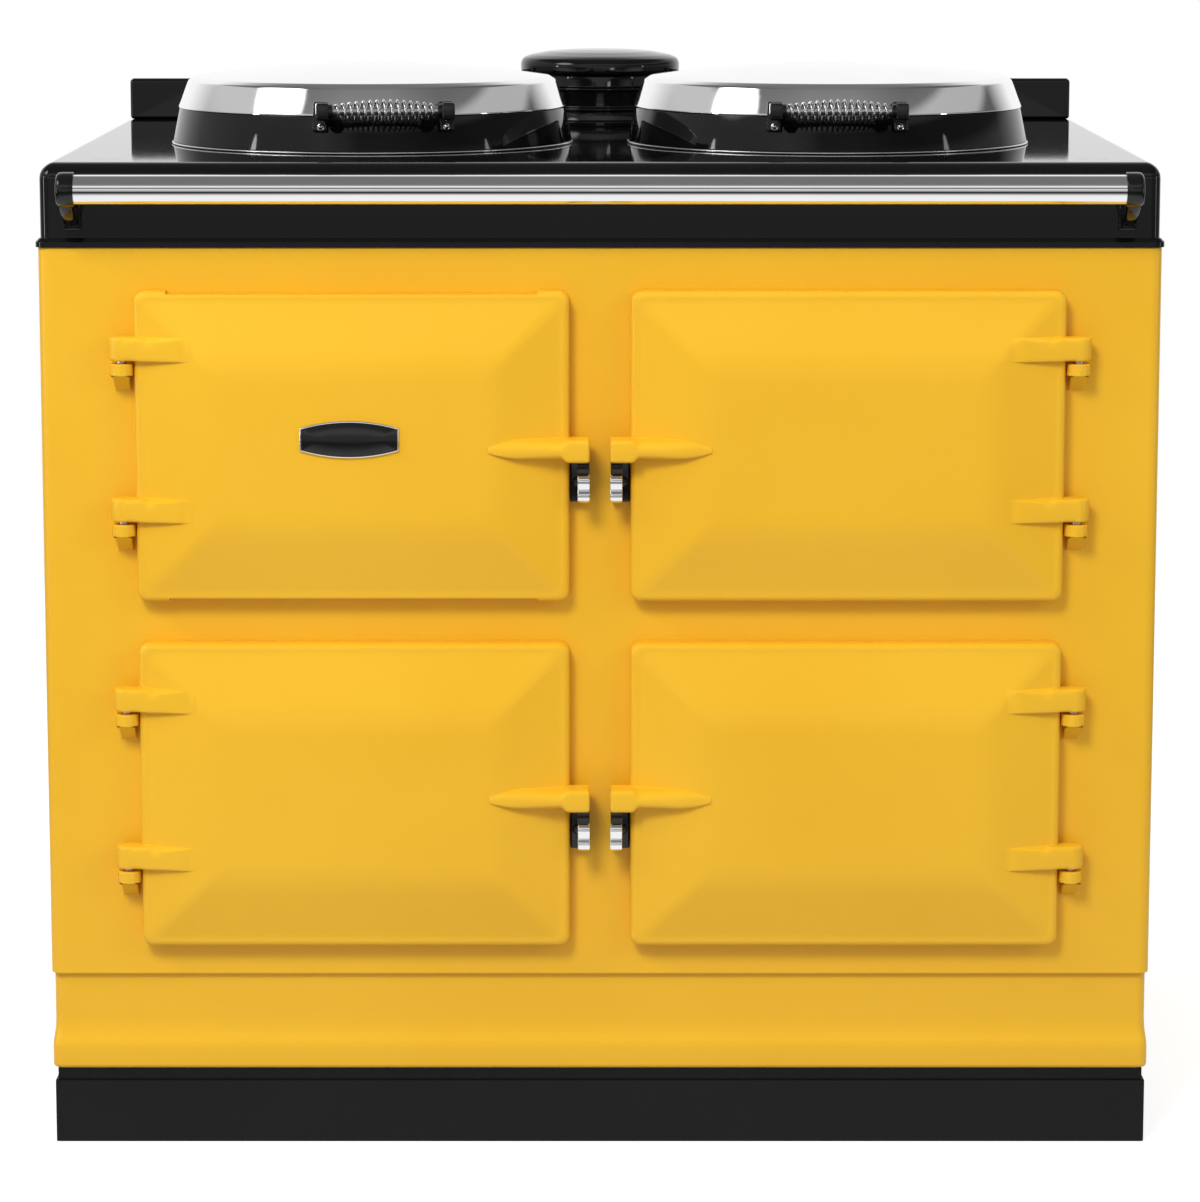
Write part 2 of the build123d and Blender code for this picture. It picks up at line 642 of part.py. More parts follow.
def latch_arm():
    """Leaf-shaped arm that grows out of the bevel and passes the door's free edge."""
    point = HALF_DOOR - ARM_LENGTH
    waist = HALF_DOOR - ARM_WAIST
    leaf = Polyline(
        (point, 0),
        (waist, -ARM_WAIST_HALF),
        (ARM_TIP, -ARM_HALF_HEIGHT),
        (ARM_TIP, ARM_HALF_HEIGHT),
        (waist, ARM_WAIST_HALF),
        close=True,
    )
    arm = outward(extrude(make_face(leaf), ARM_FRONT - ARM_BACK, taper=ARM_TAPER))
    end = block((HALF_DOOR, ARM_TIP), (-ARM_FRONT, -ARM_BACK), (-ARM_DROP, ARM_HALF_HEIGHT))
    end = chamfer(end.edges().filter_by(Axis.X), ARM_SOFT)
    return Pos(0, -ARM_BACK, 0) * arm + end


def latch_pocket():
    """Blind pocket and cross bore for the lever in the arm's end block."""
    pocket = block(
        (EYE_INNER - EYE_CLEARANCE, EYE_OUTER + EYE_CLEARANCE),
        (-PIVOT_STANDOFF - POCKET_FRONT, -PIVOT_STANDOFF + POCKET_BACK),
        (-ARM_DROP, -PIVOT_DROP + POCKET_ROOF),
    )
    cross = bar_x(bore(PIVOT_R + PIN_FIT), EYE_INNER - PIVOT_CHEEK, ARM_TIP, -PIVOT_STANDOFF, -PIVOT_DROP)
    return pocket + cross


def vent_notches():
    """Long shallow air slots cut along a door's top and bottom edges."""
    half = HALF_DOOR - VENT_NOTCH_END
    reach = DOOR_HEIGHT / 2
    for edge in (-1, 1):
        yield block((-half, half), (-FIELD_FRONT, 0), (edge * (reach - VENT_NOTCH_DEPTH), edge * reach))


def door_casting(name):
    """Enamelled cast door with its hinge straps and latch arm, hollow at the back."""
    door = door_form() + latch_arm()
    for height in (UPPER_LUG_Z, LOWER_LUG_Z):
        door += door_strap(height)
    door = door - door_cavity() - latch_pocket()
    for height in (UPPER_LUG_Z, LOWER_LUG_Z):
        door -= door_pin_bore(height)
    if name == "control":
        for notch in vent_notches():
            door -= notch
    return at_door(door, name)


def door_liner(name):
    """Pressed pan behind the door; on an oven door its plug reaches into the oven mouth."""
    edge = DOOR_WALL + LINER_SHEET + LINER_FIT
    half_x, half_z = HALF_DOOR - edge, DOOR_HEIGHT / 2 - edge
    liner = block((-half_x, half_x), (-DOOR_GAP - LINER_SHEET, -DOOR_GAP), (-half_z, half_z))
    if name in OVENS:
        plug_x, plug_z = HALF_MOUTH_X - PLUG_CLEARANCE, HALF_MOUTH_Z - PLUG_CLEARANCE
        liner += block((-plug_x, plug_x), (-DOOR_GAP, PLUG_DEPTH), (-plug_z, plug_z))
        in_x, in_z = plug_x - LINER_SHEET, plug_z - LINER_SHEET
        hollow_y = (-DOOR_GAP - LINER_SHEET, PLUG_DEPTH - LINER_SHEET)
        liner -= block((-in_x, in_x), hollow_y, (-in_z, in_z))
    return at_door(liner, name)


def door_seal():
    """Square rope seal seated in the mouth of an oven."""
    ring = aperture(SEAL_SECTION) - aperture(SEAL_SECTION, SEAL_SECTION)
    return Pos(0, DOOR_GAP, 0) * ring


def latch_lever():
    """Chrome finger lever: eye and trunnion in the arm, curved pad below, heel against the catch."""
    y, z = -PIVOT_STANDOFF, -PIVOT_DROP
    heel_z = z - HEEL_DROP
    chest = Polyline((y, z - LEVER_SHOULDER), (y - LEVER_CHEST, z - LEVER_CHIN))
    belly_z = z - (LEVER_CHIN + LEVER_FOOT) / 2
    toe = (y - LEVER_TOE, z - LEVER_FOOT)
    front = bowed(chest @ 1, (y - LEVER_BELLY, belly_z), toe, LEVER_FLATS)
    sole = Polyline(front @ 1, (y + 1, z - LEVER_FOOT), (y + LEVER_TOE, heel_z - HEEL_HALF))
    heel_top = (y + EYE_R, heel_z + HEEL_HALF)
    heel = bowed(sole @ 1, (-HEEL_STANDOFF, heel_z), heel_top, LEVER_FLATS)
    shin = Polyline(heel @ 1, (y + EYE_R, z - LEVER_SHOULDER), (y, z - LEVER_SHOULDER))
    pad = make_face([edge for line in (chest, front, sole, heel, shin) for edge in line.edges()])
    eye = peg(EYE_R, LUG_SIDES) + Pos(0, -LEVER_CHIN / 2) * Rectangle(2 * NECK_HALF, LEVER_CHIN)
    lever = along_x(pad, ARM_TIP - LEVER_WIDTH, ARM_TIP) + bar_x(eye, EYE_INNER, EYE_OUTER, y, z)
    trunnion = (EYE_INNER - PIVOT_CHEEK + EYE_CLEARANCE, ARM_TIP - EYE_CLEARANCE)
    return lever + bar_x(peg(PIVOT_R), *trunnion, y, z)


def door_catch():
    """Black catch block on the face of the casting, with the round nose that the lever bears on."""
    limits = (ARM_TIP - CATCH_WIDTH, ARM_TIP)
    body = block(limits, (-CATCH_DEPTH, 0), (-CATCH_DROP - CATCH_HEIGHT, -CATCH_DROP))
    return body + bar_x(peg(NOSE_R, LUG_SIDES), *limits, -NOSE_STANDOFF, -NOSE_DROP)


def badge_outline(inset):
    """Bowed top and bottom, short straight ends."""
    half = BADGE_WIDTH / 2 - inset
    end = BADGE_END_HEIGHT / 2 - inset
    rise = BADGE_HEIGHT / 2 - inset
    top = bowed((half, end), (0, rise), (-half, end), BADGE_FLATS)
    bottom = bowed((-half, -end), (0, -rise), (half, -end), BADGE_FLATS)
    ends = [Line(top @ 1, bottom @ 0), Line(bottom @ 1, top @ 0)]
    return make_face([*top.edges(), *bottom.edges(), *ends])


def badge():
    """Blank oval plate with a raised rim, on the field of the control door."""
    recess = extrude(badge_outline(BADGE_RIM), BADGE_RECESS)
    plate = extrude(badge_outline(0), BADGE_THICKNESS) - Pos(0, 0, BADGE_THICKNESS - BADGE_RECESS) * recess
    return at_door(Pos(BADGE_X, -FIELD_FRONT, BADGE_Z) * outward(plate), "control")


# ------------------------------------------------------------------ ovens, controls and packing
def oven():
    """Cast oven box with a front flange and three pairs of runners."""
    rear = CASTING_WALL + OVEN_DEPTH
    out_x, out_z = HALF_MOUTH_X + OVEN_WALL, HALF_MOUTH_Z + OVEN_WALL
    box = block((-out_x, out_x), (CASTING_WALL, rear), (-out_z, out_z))
    wide_x, wide_z = out_x + OVEN_FLANGE, out_z + OVEN_FLANGE
    box += block((-wide_x, wide_x), (CASTING_WALL, CASTING_WALL + OVEN_FLANGE_T), (-wide_z, wide_z))
    inside = (-HALF_MOUTH_X, HALF_MOUTH_X), (CASTING_WALL, rear - OVEN_WALL), (-HALF_MOUTH_Z, HALF_MOUTH_Z)
    box -= block(*inside)
    for height in RUNNER_HEIGHTS:
        for side in (-1, 1):
            reach = (side * (HALF_MOUTH_X - RUNNER_WIDTH), side * HALF_MOUTH_X)
            depth = (CASTING_WALL + RUNNER_START, rear - OVEN_WALL)
            box += block(reach, depth, (height - RUNNER_HEIGHT, height))
    return box


def oven_shelf():
    """Grid shelf resting on one pair of runners."""
    half = HALF_MOUTH_X - SHELF_SIDE_GAP
    start = CASTING_WALL + RUNNER_START
    level = (RUNNER_HEIGHTS[SHELF_LEVEL], RUNNER_HEIGHTS[SHELF_LEVEL] + SHELF_BAR)
    shelf = block((-half, half), (start, start + SHELF_DEPTH), level)
    slot = (2 * half - SHELF_BAR * (SHELF_SLOTS + 1)) / SHELF_SLOTS
    for index in range(SHELF_SLOTS):
        left = -half + SHELF_BAR + index * (slot + SHELF_BAR)
        shelf -= block((left, left + slot), (start + SHELF_BAR, start + SHELF_DEPTH - SHELF_BAR), level)
    return shelf


def oven_element():
    """U-shaped heating element clamped under the floor of an oven."""
    top = -HALF_MOUTH_Z - OVEN_WALL
    level = (top - ELEMENT_BAR, top)
    half = ELEMENT_WIDTH / 2
    start = CASTING_WALL + RUNNER_START
    end = start + ELEMENT_LENGTH
    inner = half - ELEMENT_BAR
    return block((-half, half), (start, end), level) - block((-inner, inner), (start + ELEMENT_BAR, end), level)


def knob_places():
    """Position of each control's axis, from the middle of the control door."""
    return [Pos(index * KNOB_SPACING, CONTROL_SETBACK, 0) for index in (-1, 0, 1)]


def control_panel():
    """Folded tray set back in the top left aperture, its face pierced for the control spindles."""
    half_x, half_z = HALF_MOUTH_X - CONTROL_FIT, HALF_MOUTH_Z - CONTROL_FIT
    rear = CONTROL_SETBACK + CONTROL_TRAY_DEPTH
    tray = block((-half_x, half_x), (CASTING_WALL, rear), (-half_z, half_z))
    wide_x, wide_z = half_x + OVEN_FLANGE, half_z + OVEN_FLANGE
    tray += block((-wide_x, wide_x), (CASTING_WALL, CASTING_WALL + CONTROL_SHEET), (-wide_z, wide_z))
    in_x, in_z = half_x - CONTROL_SHEET, half_z - CONTROL_SHEET
    tray -= block((-in_x, in_x), (CASTING_WALL, CONTROL_SETBACK), (-in_z, in_z))
    tray -= block((-in_x, in_x), (CONTROL_SETBACK + CONTROL_SHEET, rear), (-in_z, in_z))
    hole = Pos(0, CONTROL_SHEET, 0) * outward(extrude(bore(SPINDLE_R + PIN_FIT), CONTROL_SHEET))
    for place in knob_places():
        tray -= place * hole
    return tray


def knob():
    """Twelve-sided control knob with a grip bar, on its spindle."""
    base = extrude(peg(KNOB_R, KNOB_SIDES), KNOB_BASE)
    grip = Rectangle(KNOB_GRIP_WIDTH, KNOB_GRIP_LENGTH)
    base += Pos(0, 0, KNOB_BASE) * extrude(grip, KNOB_GRIP_HEIGHT)
    return Pos(0, -KNOB_GAP, 0) * outward(base + extrude(peg(SPINDLE_R), -SPINDLE_LENGTH))


def insulation():
    """Packing round the ovens, with a pocket for each oven, its element and the control tray."""
    depth = (FRONT_Y + CASTING_RETURN + PACK_START, BACK_Y - PANEL_SHEET)
    middle = HALF_BODY - PANEL_SHEET - PACK_GAP
    lower = HALF_BODY - MOULDING_SETBACK - MOULDING_WALL - PACK_GAP
    upper = TOP_WIDTH / 2 - TOP_WALL - PACK_GAP
    pack = block((-middle, middle), depth, (CASTING_BOTTOM, CASTING_TOP))
    pack += block((-lower, lower), depth, (MOULDING_BOTTOM, CASTING_BOTTOM))
    pack += block((-upper, upper), depth, (CASTING_TOP, PLATE_TOP - PACK_TOP))
    out_x, out_z = HALF_MOUTH_X + OVEN_WALL, HALF_MOUTH_Z + OVEN_WALL
    tray_depth = CONTROL_SETBACK + CONTROL_TRAY_DEPTH
    half = ELEMENT_WIDTH / 2
    trench_end = CASTING_WALL + RUNNER_START + ELEMENT_LENGTH
    trench = block((-half, half), (0, trench_end), (-out_z - ELEMENT_BAR, -out_z))
    for name in DOORS:
        rear = CASTING_WALL + OVEN_DEPTH if name in OVENS else tray_depth
        pocket = block((-out_x, out_x), (0, rear), (-out_z, out_z))
        pack -= at_door(pocket + trench if name in OVENS else pocket, name)
    return pack


# ------------------------------------------------------------------ lids
def crown_height(radius):
    """Height of the spherical crown above the cooking surface at a given radius."""
    rise = CROWN_TOP - CROWN_FOOT
    sphere = (CROWN_R**2 + rise**2) / (2 * rise)
    return CROWN_TOP - sphere + sqrt(sphere**2 - radius**2)


def lid_dome():
    """Spun chrome dome: sloping side band, crisp shoulder, shallow crown."""
    dome = disc(SEAM_R + DOME_LIP, (SEAM_HEIGHT, SHOULDER_HEIGHT), SHOULDER_R)
    dome += disc(SHOULDER_R, (SHOULDER_HEIGHT, CROWN_FOOT), CROWN_R)
    step = CROWN_R / CROWN_RINGS
    for ring in range(CROWN_RINGS - 1):
        outer = CROWN_R - ring * step
        dome += disc(outer, (crown_height(outer), crown_height(outer - step)), outer - step)
    ceiling = SHOULDER_HEIGHT - DOME_SHEET
    dome -= disc(DOME_CAVITY_R, (SEAM_HEIGHT, ceiling), sides=CAVITY_SIDES)
    dome -= disc(CROWN_R - DOME_SHEET, (ceiling, CEILING_TOP), CEILING_R, CAVITY_SIDES)
    return dome


def lid_skirt():
    """Black enamelled skirt of a lid, with the hinge lug on its back."""
    wall = disc(SKIRT_FOOT_R, (BEAD_TOP, SEAM_HEIGHT), SEAM_R)
    half = LID_LUG_WIDTH / 2
    boss = Pos(LID_AXIS_Y, LID_AXIS_HEIGHT) * peg(LID_LUG_R, LUG_SIDES)
    root = SEAM_R - SKIRT_WALL
    boss += Pos((LID_AXIS_Y + root) / 2, LID_AXIS_HEIGHT) * Rectangle(LID_AXIS_Y - root, 2 * LID_LUG_R)
    lug = along_x(boss, -half, half)
    lug -= bar_x(bore(LID_PIN_R + PIN_FIT), -half, half, LID_AXIS_Y, LID_AXIS_HEIGHT)
    hollow = disc(SEAM_R - SKIRT_WALL, (BEAD_TOP, SEAM_HEIGHT), sides=CAVITY_SIDES)
    return wall + lug - hollow


def lid_base():
    """Polished metal base plate of a lid; its edge shows as a thin bright bead."""
    return disc(BEAD_R, (LID_REST_GAP, BEAD_TOP))


def lid_pad():
    """Cut slab of insulation that fills the skirt and the dome."""
    return disc(DOME_CAVITY_R - PAD_GAP, (BEAD_TOP, SHOULDER_HEIGHT - PAD_GAP), sides=CAVITY_SIDES)


def handle_brackets(turn):
    """Two black end brackets, cut to the curve of a lid that they are turned on, with collars for the grip."""
    skirt = disc(SKIRT_FOOT_R, (BEAD_TOP, SEAM_HEIGHT), SEAM_R)
    band = disc(SEAM_R + DOME_LIP, (SEAM_HEIGHT, SHOULDER_HEIGHT), SHOULDER_R)
    lid = Rot(0, 0, -turn) * (skirt + band)
    inner = HANDLE_SPAN / 2
    outer = inner + END_BRACKET_WIDTH
    root_y = -sqrt(SHOULDER_R**2 - outer**2)
    stalk = Polyline(
        (-HANDLE_REACH, HANDLE_HEIGHT + END_BRACKET_R),
        (root_y, HANDLE_HEIGHT + STALK_TOP),
        (root_y, HANDLE_HEIGHT - STALK_BOTTOM),
        (-HANDLE_REACH, HANDLE_HEIGHT - END_BRACKET_R),
        close=True,
    )
    side_view = Pos(-HANDLE_REACH, HANDLE_HEIGHT) * peg(END_BRACKET_R, LUG_SIDES) + make_face(stalk)
    for side in (-1, 1):
        ends = sorted((side * inner, side * outer))
        bracket = along_x(side_view, *ends) - lid
        collar = sorted((side * (inner - COLLAR_LENGTH), side * inner))
        bracket += bar_x(peg(COLLAR_R, LUG_SIDES), *collar, -HANDLE_REACH, HANDLE_HEIGHT)
        socket = sorted((side * (inner - COLLAR_LENGTH), side * (inner + ROD_SEAT)))
        yield bracket - bar_x(bore(ROD_R + PIN_FIT), *socket, -HANDLE_REACH, HANDLE_HEIGHT)


def handle_rod():
    """Steel rod through the coil, seated in both brackets."""
    half = HANDLE_SPAN / 2 + ROD_SEAT - PIN_FIT
    return bar_x(peg(ROD_R), -half, half, -HANDLE_REACH, HANDLE_HEIGHT)


def handle_coil():
    """One wire wound in a barrel-shaped coil between the collars."""
    length = HANDLE_SPAN - 2 * (COLLAR_LENGTH + WIRE_R + COIL_END_GAP)
    count = COIL_TURNS * COIL_STEPS
    corners = []
    for index in range(count + 1):
        share = index / count
        angle = 2 * pi * index / COIL_STEPS
        radius = COIL_END_R + (COIL_MID_R - COIL_END_R) * sin(pi * share)
        corners.append(((share - 0.5) * length, radius * cos(angle), radius * sin(angle)))
    path = Polyline(*corners)
    section = Plane(origin=path @ 0, z_dir=path % 0) * peg(WIRE_R, WIRE_SIDES)
    return Pos(0, -HANDLE_REACH, HANDLE_HEIGHT) * sweep(section, path=path, transition=Transition.RIGHT)


def lid_hinge_bracket():
    """Fixed black bracket on the cooking surface: a foot and two ears."""
    inner = LID_LUG_WIDTH / 2 + EAR_GAP
    outer = inner + EAR_THICKNESS
    front = LID_AXIS_Y - LID_LUG_R
    bracket = block((-outer, outer), (front, front + BRACKET_LENGTH), (0, BRACKET_BASE))
    ear = Pos(LID_AXIS_Y, LID_AXIS_HEIGHT) * peg(LID_LUG_R, LUG_SIDES)
    ear += Pos(LID_AXIS_Y, LID_AXIS_HEIGHT / 2) * Rectangle(2 * LID_LUG_R, LID_AXIS_HEIGHT)
    for ends in ((-outer, -inner), (inner, outer)):
        bracket += along_x(ear, *ends)
    return bracket - bar_x(bore(LID_PIN_R + PIN_FIT), -outer, outer, LID_AXIS_Y, LID_AXIS_HEIGHT)


def lid_hinge_pin():
    """Pin through both ears and the lid's lug."""
    outer = LID_LUG_WIDTH / 2 + EAR_GAP + EAR_THICKNESS
    return bar_x(peg(LID_PIN_R), -outer, outer, LID_AXIS_Y, LID_AXIS_HEIGHT)


# ------------------------------------------------------------------ handrail
def handrail():
    """Chrome tube across the front."""
    half = RAIL_LENGTH / 2
    tube = bar_x(Circle(RAIL_D / 2), -half, half, RAIL_Y, RAIL_Z)
    return tube - bar_x(peg(RAIL_D / 2 - RAIL_WALL, LUG_SIDES), -half, half, RAIL_Y, RAIL_Z)


def handrail_bracket(side):
    """Black cast bracket: a cup round the rail's end, an arm and a foot on the apron."""
    end = RAIL_LENGTH / 2 - RAIL_SOCKET
    ends = sorted((side * end, side * (end + CUP_LENGTH)))
    arm = Polyline(
        (RAIL_Y, RAIL_Z + CUP_R),
        (TOP_FRONT_Y, RAIL_Z + FOOT_TOP),
        (TOP_FRONT_Y, RAIL_Z - FOOT_BOTTOM),
        (TOP_FRONT_Y - FOOT_DEPTH, RAIL_Z - FOOT_BOTTOM),
        (TOP_FRONT_Y - 2 * FOOT_DEPTH, RAIL_Z - FOOT_TOP),
        (RAIL_Y, RAIL_Z - CUP_R),
        close=True,
    )
    bracket = along_x(Pos(RAIL_Y, RAIL_Z) * Circle(CUP_R) + make_face(arm), *ends)
    socket = sorted((side * end, side * (end + RAIL_SOCKET)))
    return bracket - bar_x(bore(RAIL_D / 2 + PIN_FIT, LUG_SIDES), *socket, RAIL_Y, RAIL_Z)


# ------------------------------------------------------------------ every node
def main():
    export("plinth", plinth())
    export("base_plate", base_plate())
    export("base_moulding", base_moulding())
    export("front_casting", front_casting())
    export("side_panel_left", side_panel(-1))
    export("side_panel_right", side_panel(1))
    export("back_panel", back_panel())
    export("top_plate", top_plate())
    export("top_plate_plugs", *(place * blanking_plug() for place in plug_places()))
    export("boiling_plate", at_lid(hotplate(), "left"))
    export("simmering_plate", at_lid(hotplate(), "right"))
    export("hotplate_elements", *(at_lid(hotplate_heater(), name) for name in LIDS))
    export("rear_upstand", rear_upstand())
    export("vent_neck", vent_neck())
    export("vent_cap", vent_cap())
    export("door_hinge_pins", *(Pos(*place) * hinge_pin() for place in hinge_places()))
    export("door_catches", *(at_door(door_catch(), name) for name in DOORS))
    export("door_seals", *(at_door(door_seal(), name) for name in OVENS))
    for name in DOORS:
        export(f"{name}_door", door_casting(name))
        export(f"{name}_door_liner", door_liner(name))
        export(f"{name}_latch_lever", at_door(latch_lever(), name))
    export("blank_badge", badge())
    for name in OVENS:
        export(f"{name}_oven", at_door(oven(), name))
    export("oven_shelves", *(at_door(oven_shelf(), name) for name in OVENS))
    export("oven_elements", *(at_door(oven_element(), name) for name in OVENS))
    export("insulation", insulation())
    export("control_panel", at_door(control_panel(), "control"))
    for label, place in zip(("boiling", "simmering", "oven"), knob_places()):
        export(f"{label}_knob", at_door(place * knob(), "control"))
    for name in LIDS:
        turn = Rot(0, 0, HANDLE_TURN[name])
        export(f"{name}_lid_dome", at_lid(lid_dome(), name))
        export(f"{name}_lid_skirt", at_lid(lid_skirt(), name))
        export(f"{name}_lid_base", at_lid(lid_base(), name))
        export(f"{name}_lid_pad", at_lid(lid_pad(), name))
        brackets = handle_brackets(HANDLE_TURN[name])
        export(f"{name}_handle_brackets", *(at_lid(turn * bracket, name) for bracket in brackets))
        export(f"{name}_handle_rod", at_lid(turn * handle_rod(), name))
        export(f"{name}_handle_coil", at_lid(turn * handle_coil(), name))
    export("lid_hinge_brackets", *(at_lid(lid_hinge_bracket(), name) for name in LIDS))
    export("lid_hinge_pins", *(at_lid(lid_hinge_pin(), name) for name in LIDS))
    export("handrail", handrail())
    export("handrail_brackets", *(handrail_bracket(side) for side in (-1, 1)))


main()
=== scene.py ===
# %% [markdown]
# # A cast iron range cooker, finished in Blender
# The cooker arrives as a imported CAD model: 59 rigid pieces in metres, already in place.
# This lesson dresses it. About half of the CAD pieces keep their meshes and get real finishes and
# softened edges. The pieces whose faceted CAD form would look coarse close up, such as the chrome
# lids and the wire grips, are modelled again as smooth meshes in exactly the same place. Every
# piece rides on the body that carries it, so doors, lids and knobs still move.

# %% Load the frame
import json
import math

import bmesh
import bpy
from mathutils import Matrix, Vector


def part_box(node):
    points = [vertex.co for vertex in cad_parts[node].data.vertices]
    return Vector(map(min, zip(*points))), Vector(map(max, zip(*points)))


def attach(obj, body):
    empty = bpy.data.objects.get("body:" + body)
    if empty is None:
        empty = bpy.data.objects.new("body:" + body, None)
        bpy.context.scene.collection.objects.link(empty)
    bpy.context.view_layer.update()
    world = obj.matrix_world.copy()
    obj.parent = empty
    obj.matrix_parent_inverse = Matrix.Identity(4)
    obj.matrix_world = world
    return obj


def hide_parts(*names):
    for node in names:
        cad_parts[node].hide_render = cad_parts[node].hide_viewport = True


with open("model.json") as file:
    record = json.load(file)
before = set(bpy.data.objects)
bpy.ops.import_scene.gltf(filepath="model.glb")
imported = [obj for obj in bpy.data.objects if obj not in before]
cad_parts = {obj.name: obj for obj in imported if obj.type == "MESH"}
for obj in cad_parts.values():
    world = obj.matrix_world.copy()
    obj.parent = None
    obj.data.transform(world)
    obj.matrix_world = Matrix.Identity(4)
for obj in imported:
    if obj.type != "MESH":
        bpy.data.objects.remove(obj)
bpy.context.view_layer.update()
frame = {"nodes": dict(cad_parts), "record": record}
nodes = frame["nodes"]


# %% [markdown]
# ## Where things are
# Sizes are read from the CAD pieces themselves, so that each new piece sits on what carries it.
# `middle` gives the centre of a piece's box, and `size` its width, depth and height.


# %% First helpers
def middle(node):
    low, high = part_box(node)
    return (low + high) / 2


def size(node):
    low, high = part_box(node)
    return high - low


def add_object(name, data):
    """A new object for some data, linked to the scene."""
    added = bpy.data.objects.new(name, data)
    bpy.context.scene.collection.objects.link(added)
    return added


LID_GAP = 0.0003
PLATE_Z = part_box("left_lid_base")[0].z - LID_GAP
FACE_Y = -0.31775
LIDS = {side: middle(f"{side}_lid_base") for side in ("left", "right")}
DOORS = ("control", "roasting", "baking", "simmering")
print("cooking surface at", round(PLATE_Z, 4), "lids at", {s: round(c.x, 3) for s, c in LIDS.items()})

# %% [markdown]
# ## Camera
# A product picture of a wide appliance is taken with a long lens from a little above, square to
# the front. The long lens keeps the uprights nearly upright, and a slight shift settles the
# object in the picture, so that the camera only has to look down a few degrees.

# %% Camera
CAMERA_HEIGHT = 1.1413
CAMERA_DISTANCE = 3.846
CAMERA_PITCH = math.radians(8.72)
CAMERA_LENS = 131.4
CAMERA_SHIFT_Y = -0.05
camera = add_object("camera", bpy.data.cameras.new("camera"))
camera.data.lens = CAMERA_LENS
camera.data.sensor_width = 36.0
camera.data.shift_y = CAMERA_SHIFT_Y
camera.data.clip_start = 0.05
camera.data.clip_end = 60.0
camera.location = (0.0, FACE_Y - CAMERA_DISTANCE, CAMERA_HEIGHT)
camera.rotation_euler = (math.pi / 2 - CAMERA_PITCH, 0.0, 0.0)
bpy.context.scene.camera = camera
print("camera", tuple(round(c, 3) for c in camera.location))

# %% [markdown]
# ## Studio
# Enamel and chrome look best in a white room with a few large soft lights. Polished metal
# has no colour of its own: it shows the room. So the room is drawn twice. For the light that
# falls on the cooker it is a plain pale dome, brighter above. For mirror rays it has a pale wall
# in front with a bright upper edge, which stays pale further up on the left than on the right, a
# dim ceiling, a white wall behind, and a floor that fades to a dark edge. The camera sees plain
# white.


# %% Studio helpers
SEEN_RAYS = ["Is Camera Ray", "Is Transmission Ray"]
MIRROR_RAYS = ["Is Glossy Ray"]


def deselect():
    if bpy.context.object and bpy.context.object.mode != "OBJECT":
        bpy.ops.object.mode_set(mode="OBJECT")
    bpy.ops.object.select_all(action="DESELECT")


def blank_tree(holder):
    """The emptied node tree of a material, a world or a lamp."""
    holder.use_nodes = True
    holder.node_tree.nodes.clear()
    return holder.node_tree


def fill(tree, node, sockets):
    """Gives each input its number or colour, or links it to another node's output."""
    for key, value in sockets.items():
        if isinstance(value, bpy.types.NodeSocket):
            tree.links.new(value, node.inputs[key])
        else:
            node.inputs[key].default_value = value
    return node


def add(tree, kind, sockets=None, **settings):
    """A new node with its settings and sockets."""
    node = tree.nodes.new("ShaderNode" + kind)
    for key, value in settings.items():
        setattr(node, key, value)
    return fill(tree, node, sockets or {})


def ray_switch(tree, kinds, yes, no):
    """One shader for rays of the named kinds and another for all other rays."""
    path = add(tree, "LightPath")
    share = path.outputs[kinds[0]]
    for kind in kinds[1:]:
        share = add(tree, "Math", {0: share, 1: path.outputs[kind]}, operation="MAXIMUM").outputs[0]
    return add(tree, "MixShader", {"Fac": share, 1: no, 2: yes}).outputs[0]


def tones(tree, value, stops, low, high):
    """Grey tones along a value: stops are pairs of value and tone."""
    reach = add(tree, "MapRange", {"From Min": low, "From Max": high, "Value": value})
    strip = add(tree, "ValToRGB", {"Fac": reach.outputs["Result"]})
    marks = strip.color_ramp.elements
    while len(marks) < len(stops):
        marks.new(0.5)
    for mark, (place, tone) in zip(marks, stops):
        mark.position = (place - low) / (high - low)
        mark.color = (tone, tone, tone, 1)
    return strip.outputs["Color"]


def blended(tree, kind, share, first, second):
    """MIX or MULTIPLY of two colours; share is a socket or a number."""
    sockets = {0: share, 6: first, 7: second}
    return add(tree, "Mix", sockets, data_type="RGBA", blend_type=kind).outputs[2]


# %% Floor
FLOOR_R = 2.9
FLOOR_GREY = (0.48, 0.48, 0.48, 1)
FLOOR_GLOW = 0.75
FLOOR_TONES = [(0.0, 1.0), (1.35, 0.95), (2.0, 0.35), (2.5, 0.06), (2.9, 0.03)]
deselect()
bpy.ops.mesh.primitive_circle_add(vertices=96, radius=FLOOR_R, fill_type="NGON", location=(0, 0, 0))
floor = bpy.context.object
floor.name = "studio_floor"
floor_paint = bpy.data.materials.new("studio_floor_paint")
graph = blank_tree(floor_paint)
matt = add(graph, "BsdfDiffuse", {"Color": FLOOR_GREY}).outputs[0]
glow = add(graph, "Emission", {"Strength": FLOOR_GLOW}).outputs[0]
lit = add(graph, "AddShader", {0: matt, 1: glow}).outputs[0]
where = add(graph, "TexCoord").outputs["Object"]
away = add(graph, "VectorMath", {0: where}, operation="LENGTH").outputs["Value"]
faded = add(graph, "Emission", {"Color": tones(graph, away, FLOOR_TONES, 0.0, 3.0)}).outputs[0]
seen = ray_switch(graph, SEEN_RAYS, lit, matt)
add(graph, "OutputMaterial", {"Surface": ray_switch(graph, MIRROR_RAYS, faded, seen)})
floor.data.materials.append(floor_paint)
print("floor radius", FLOOR_R)

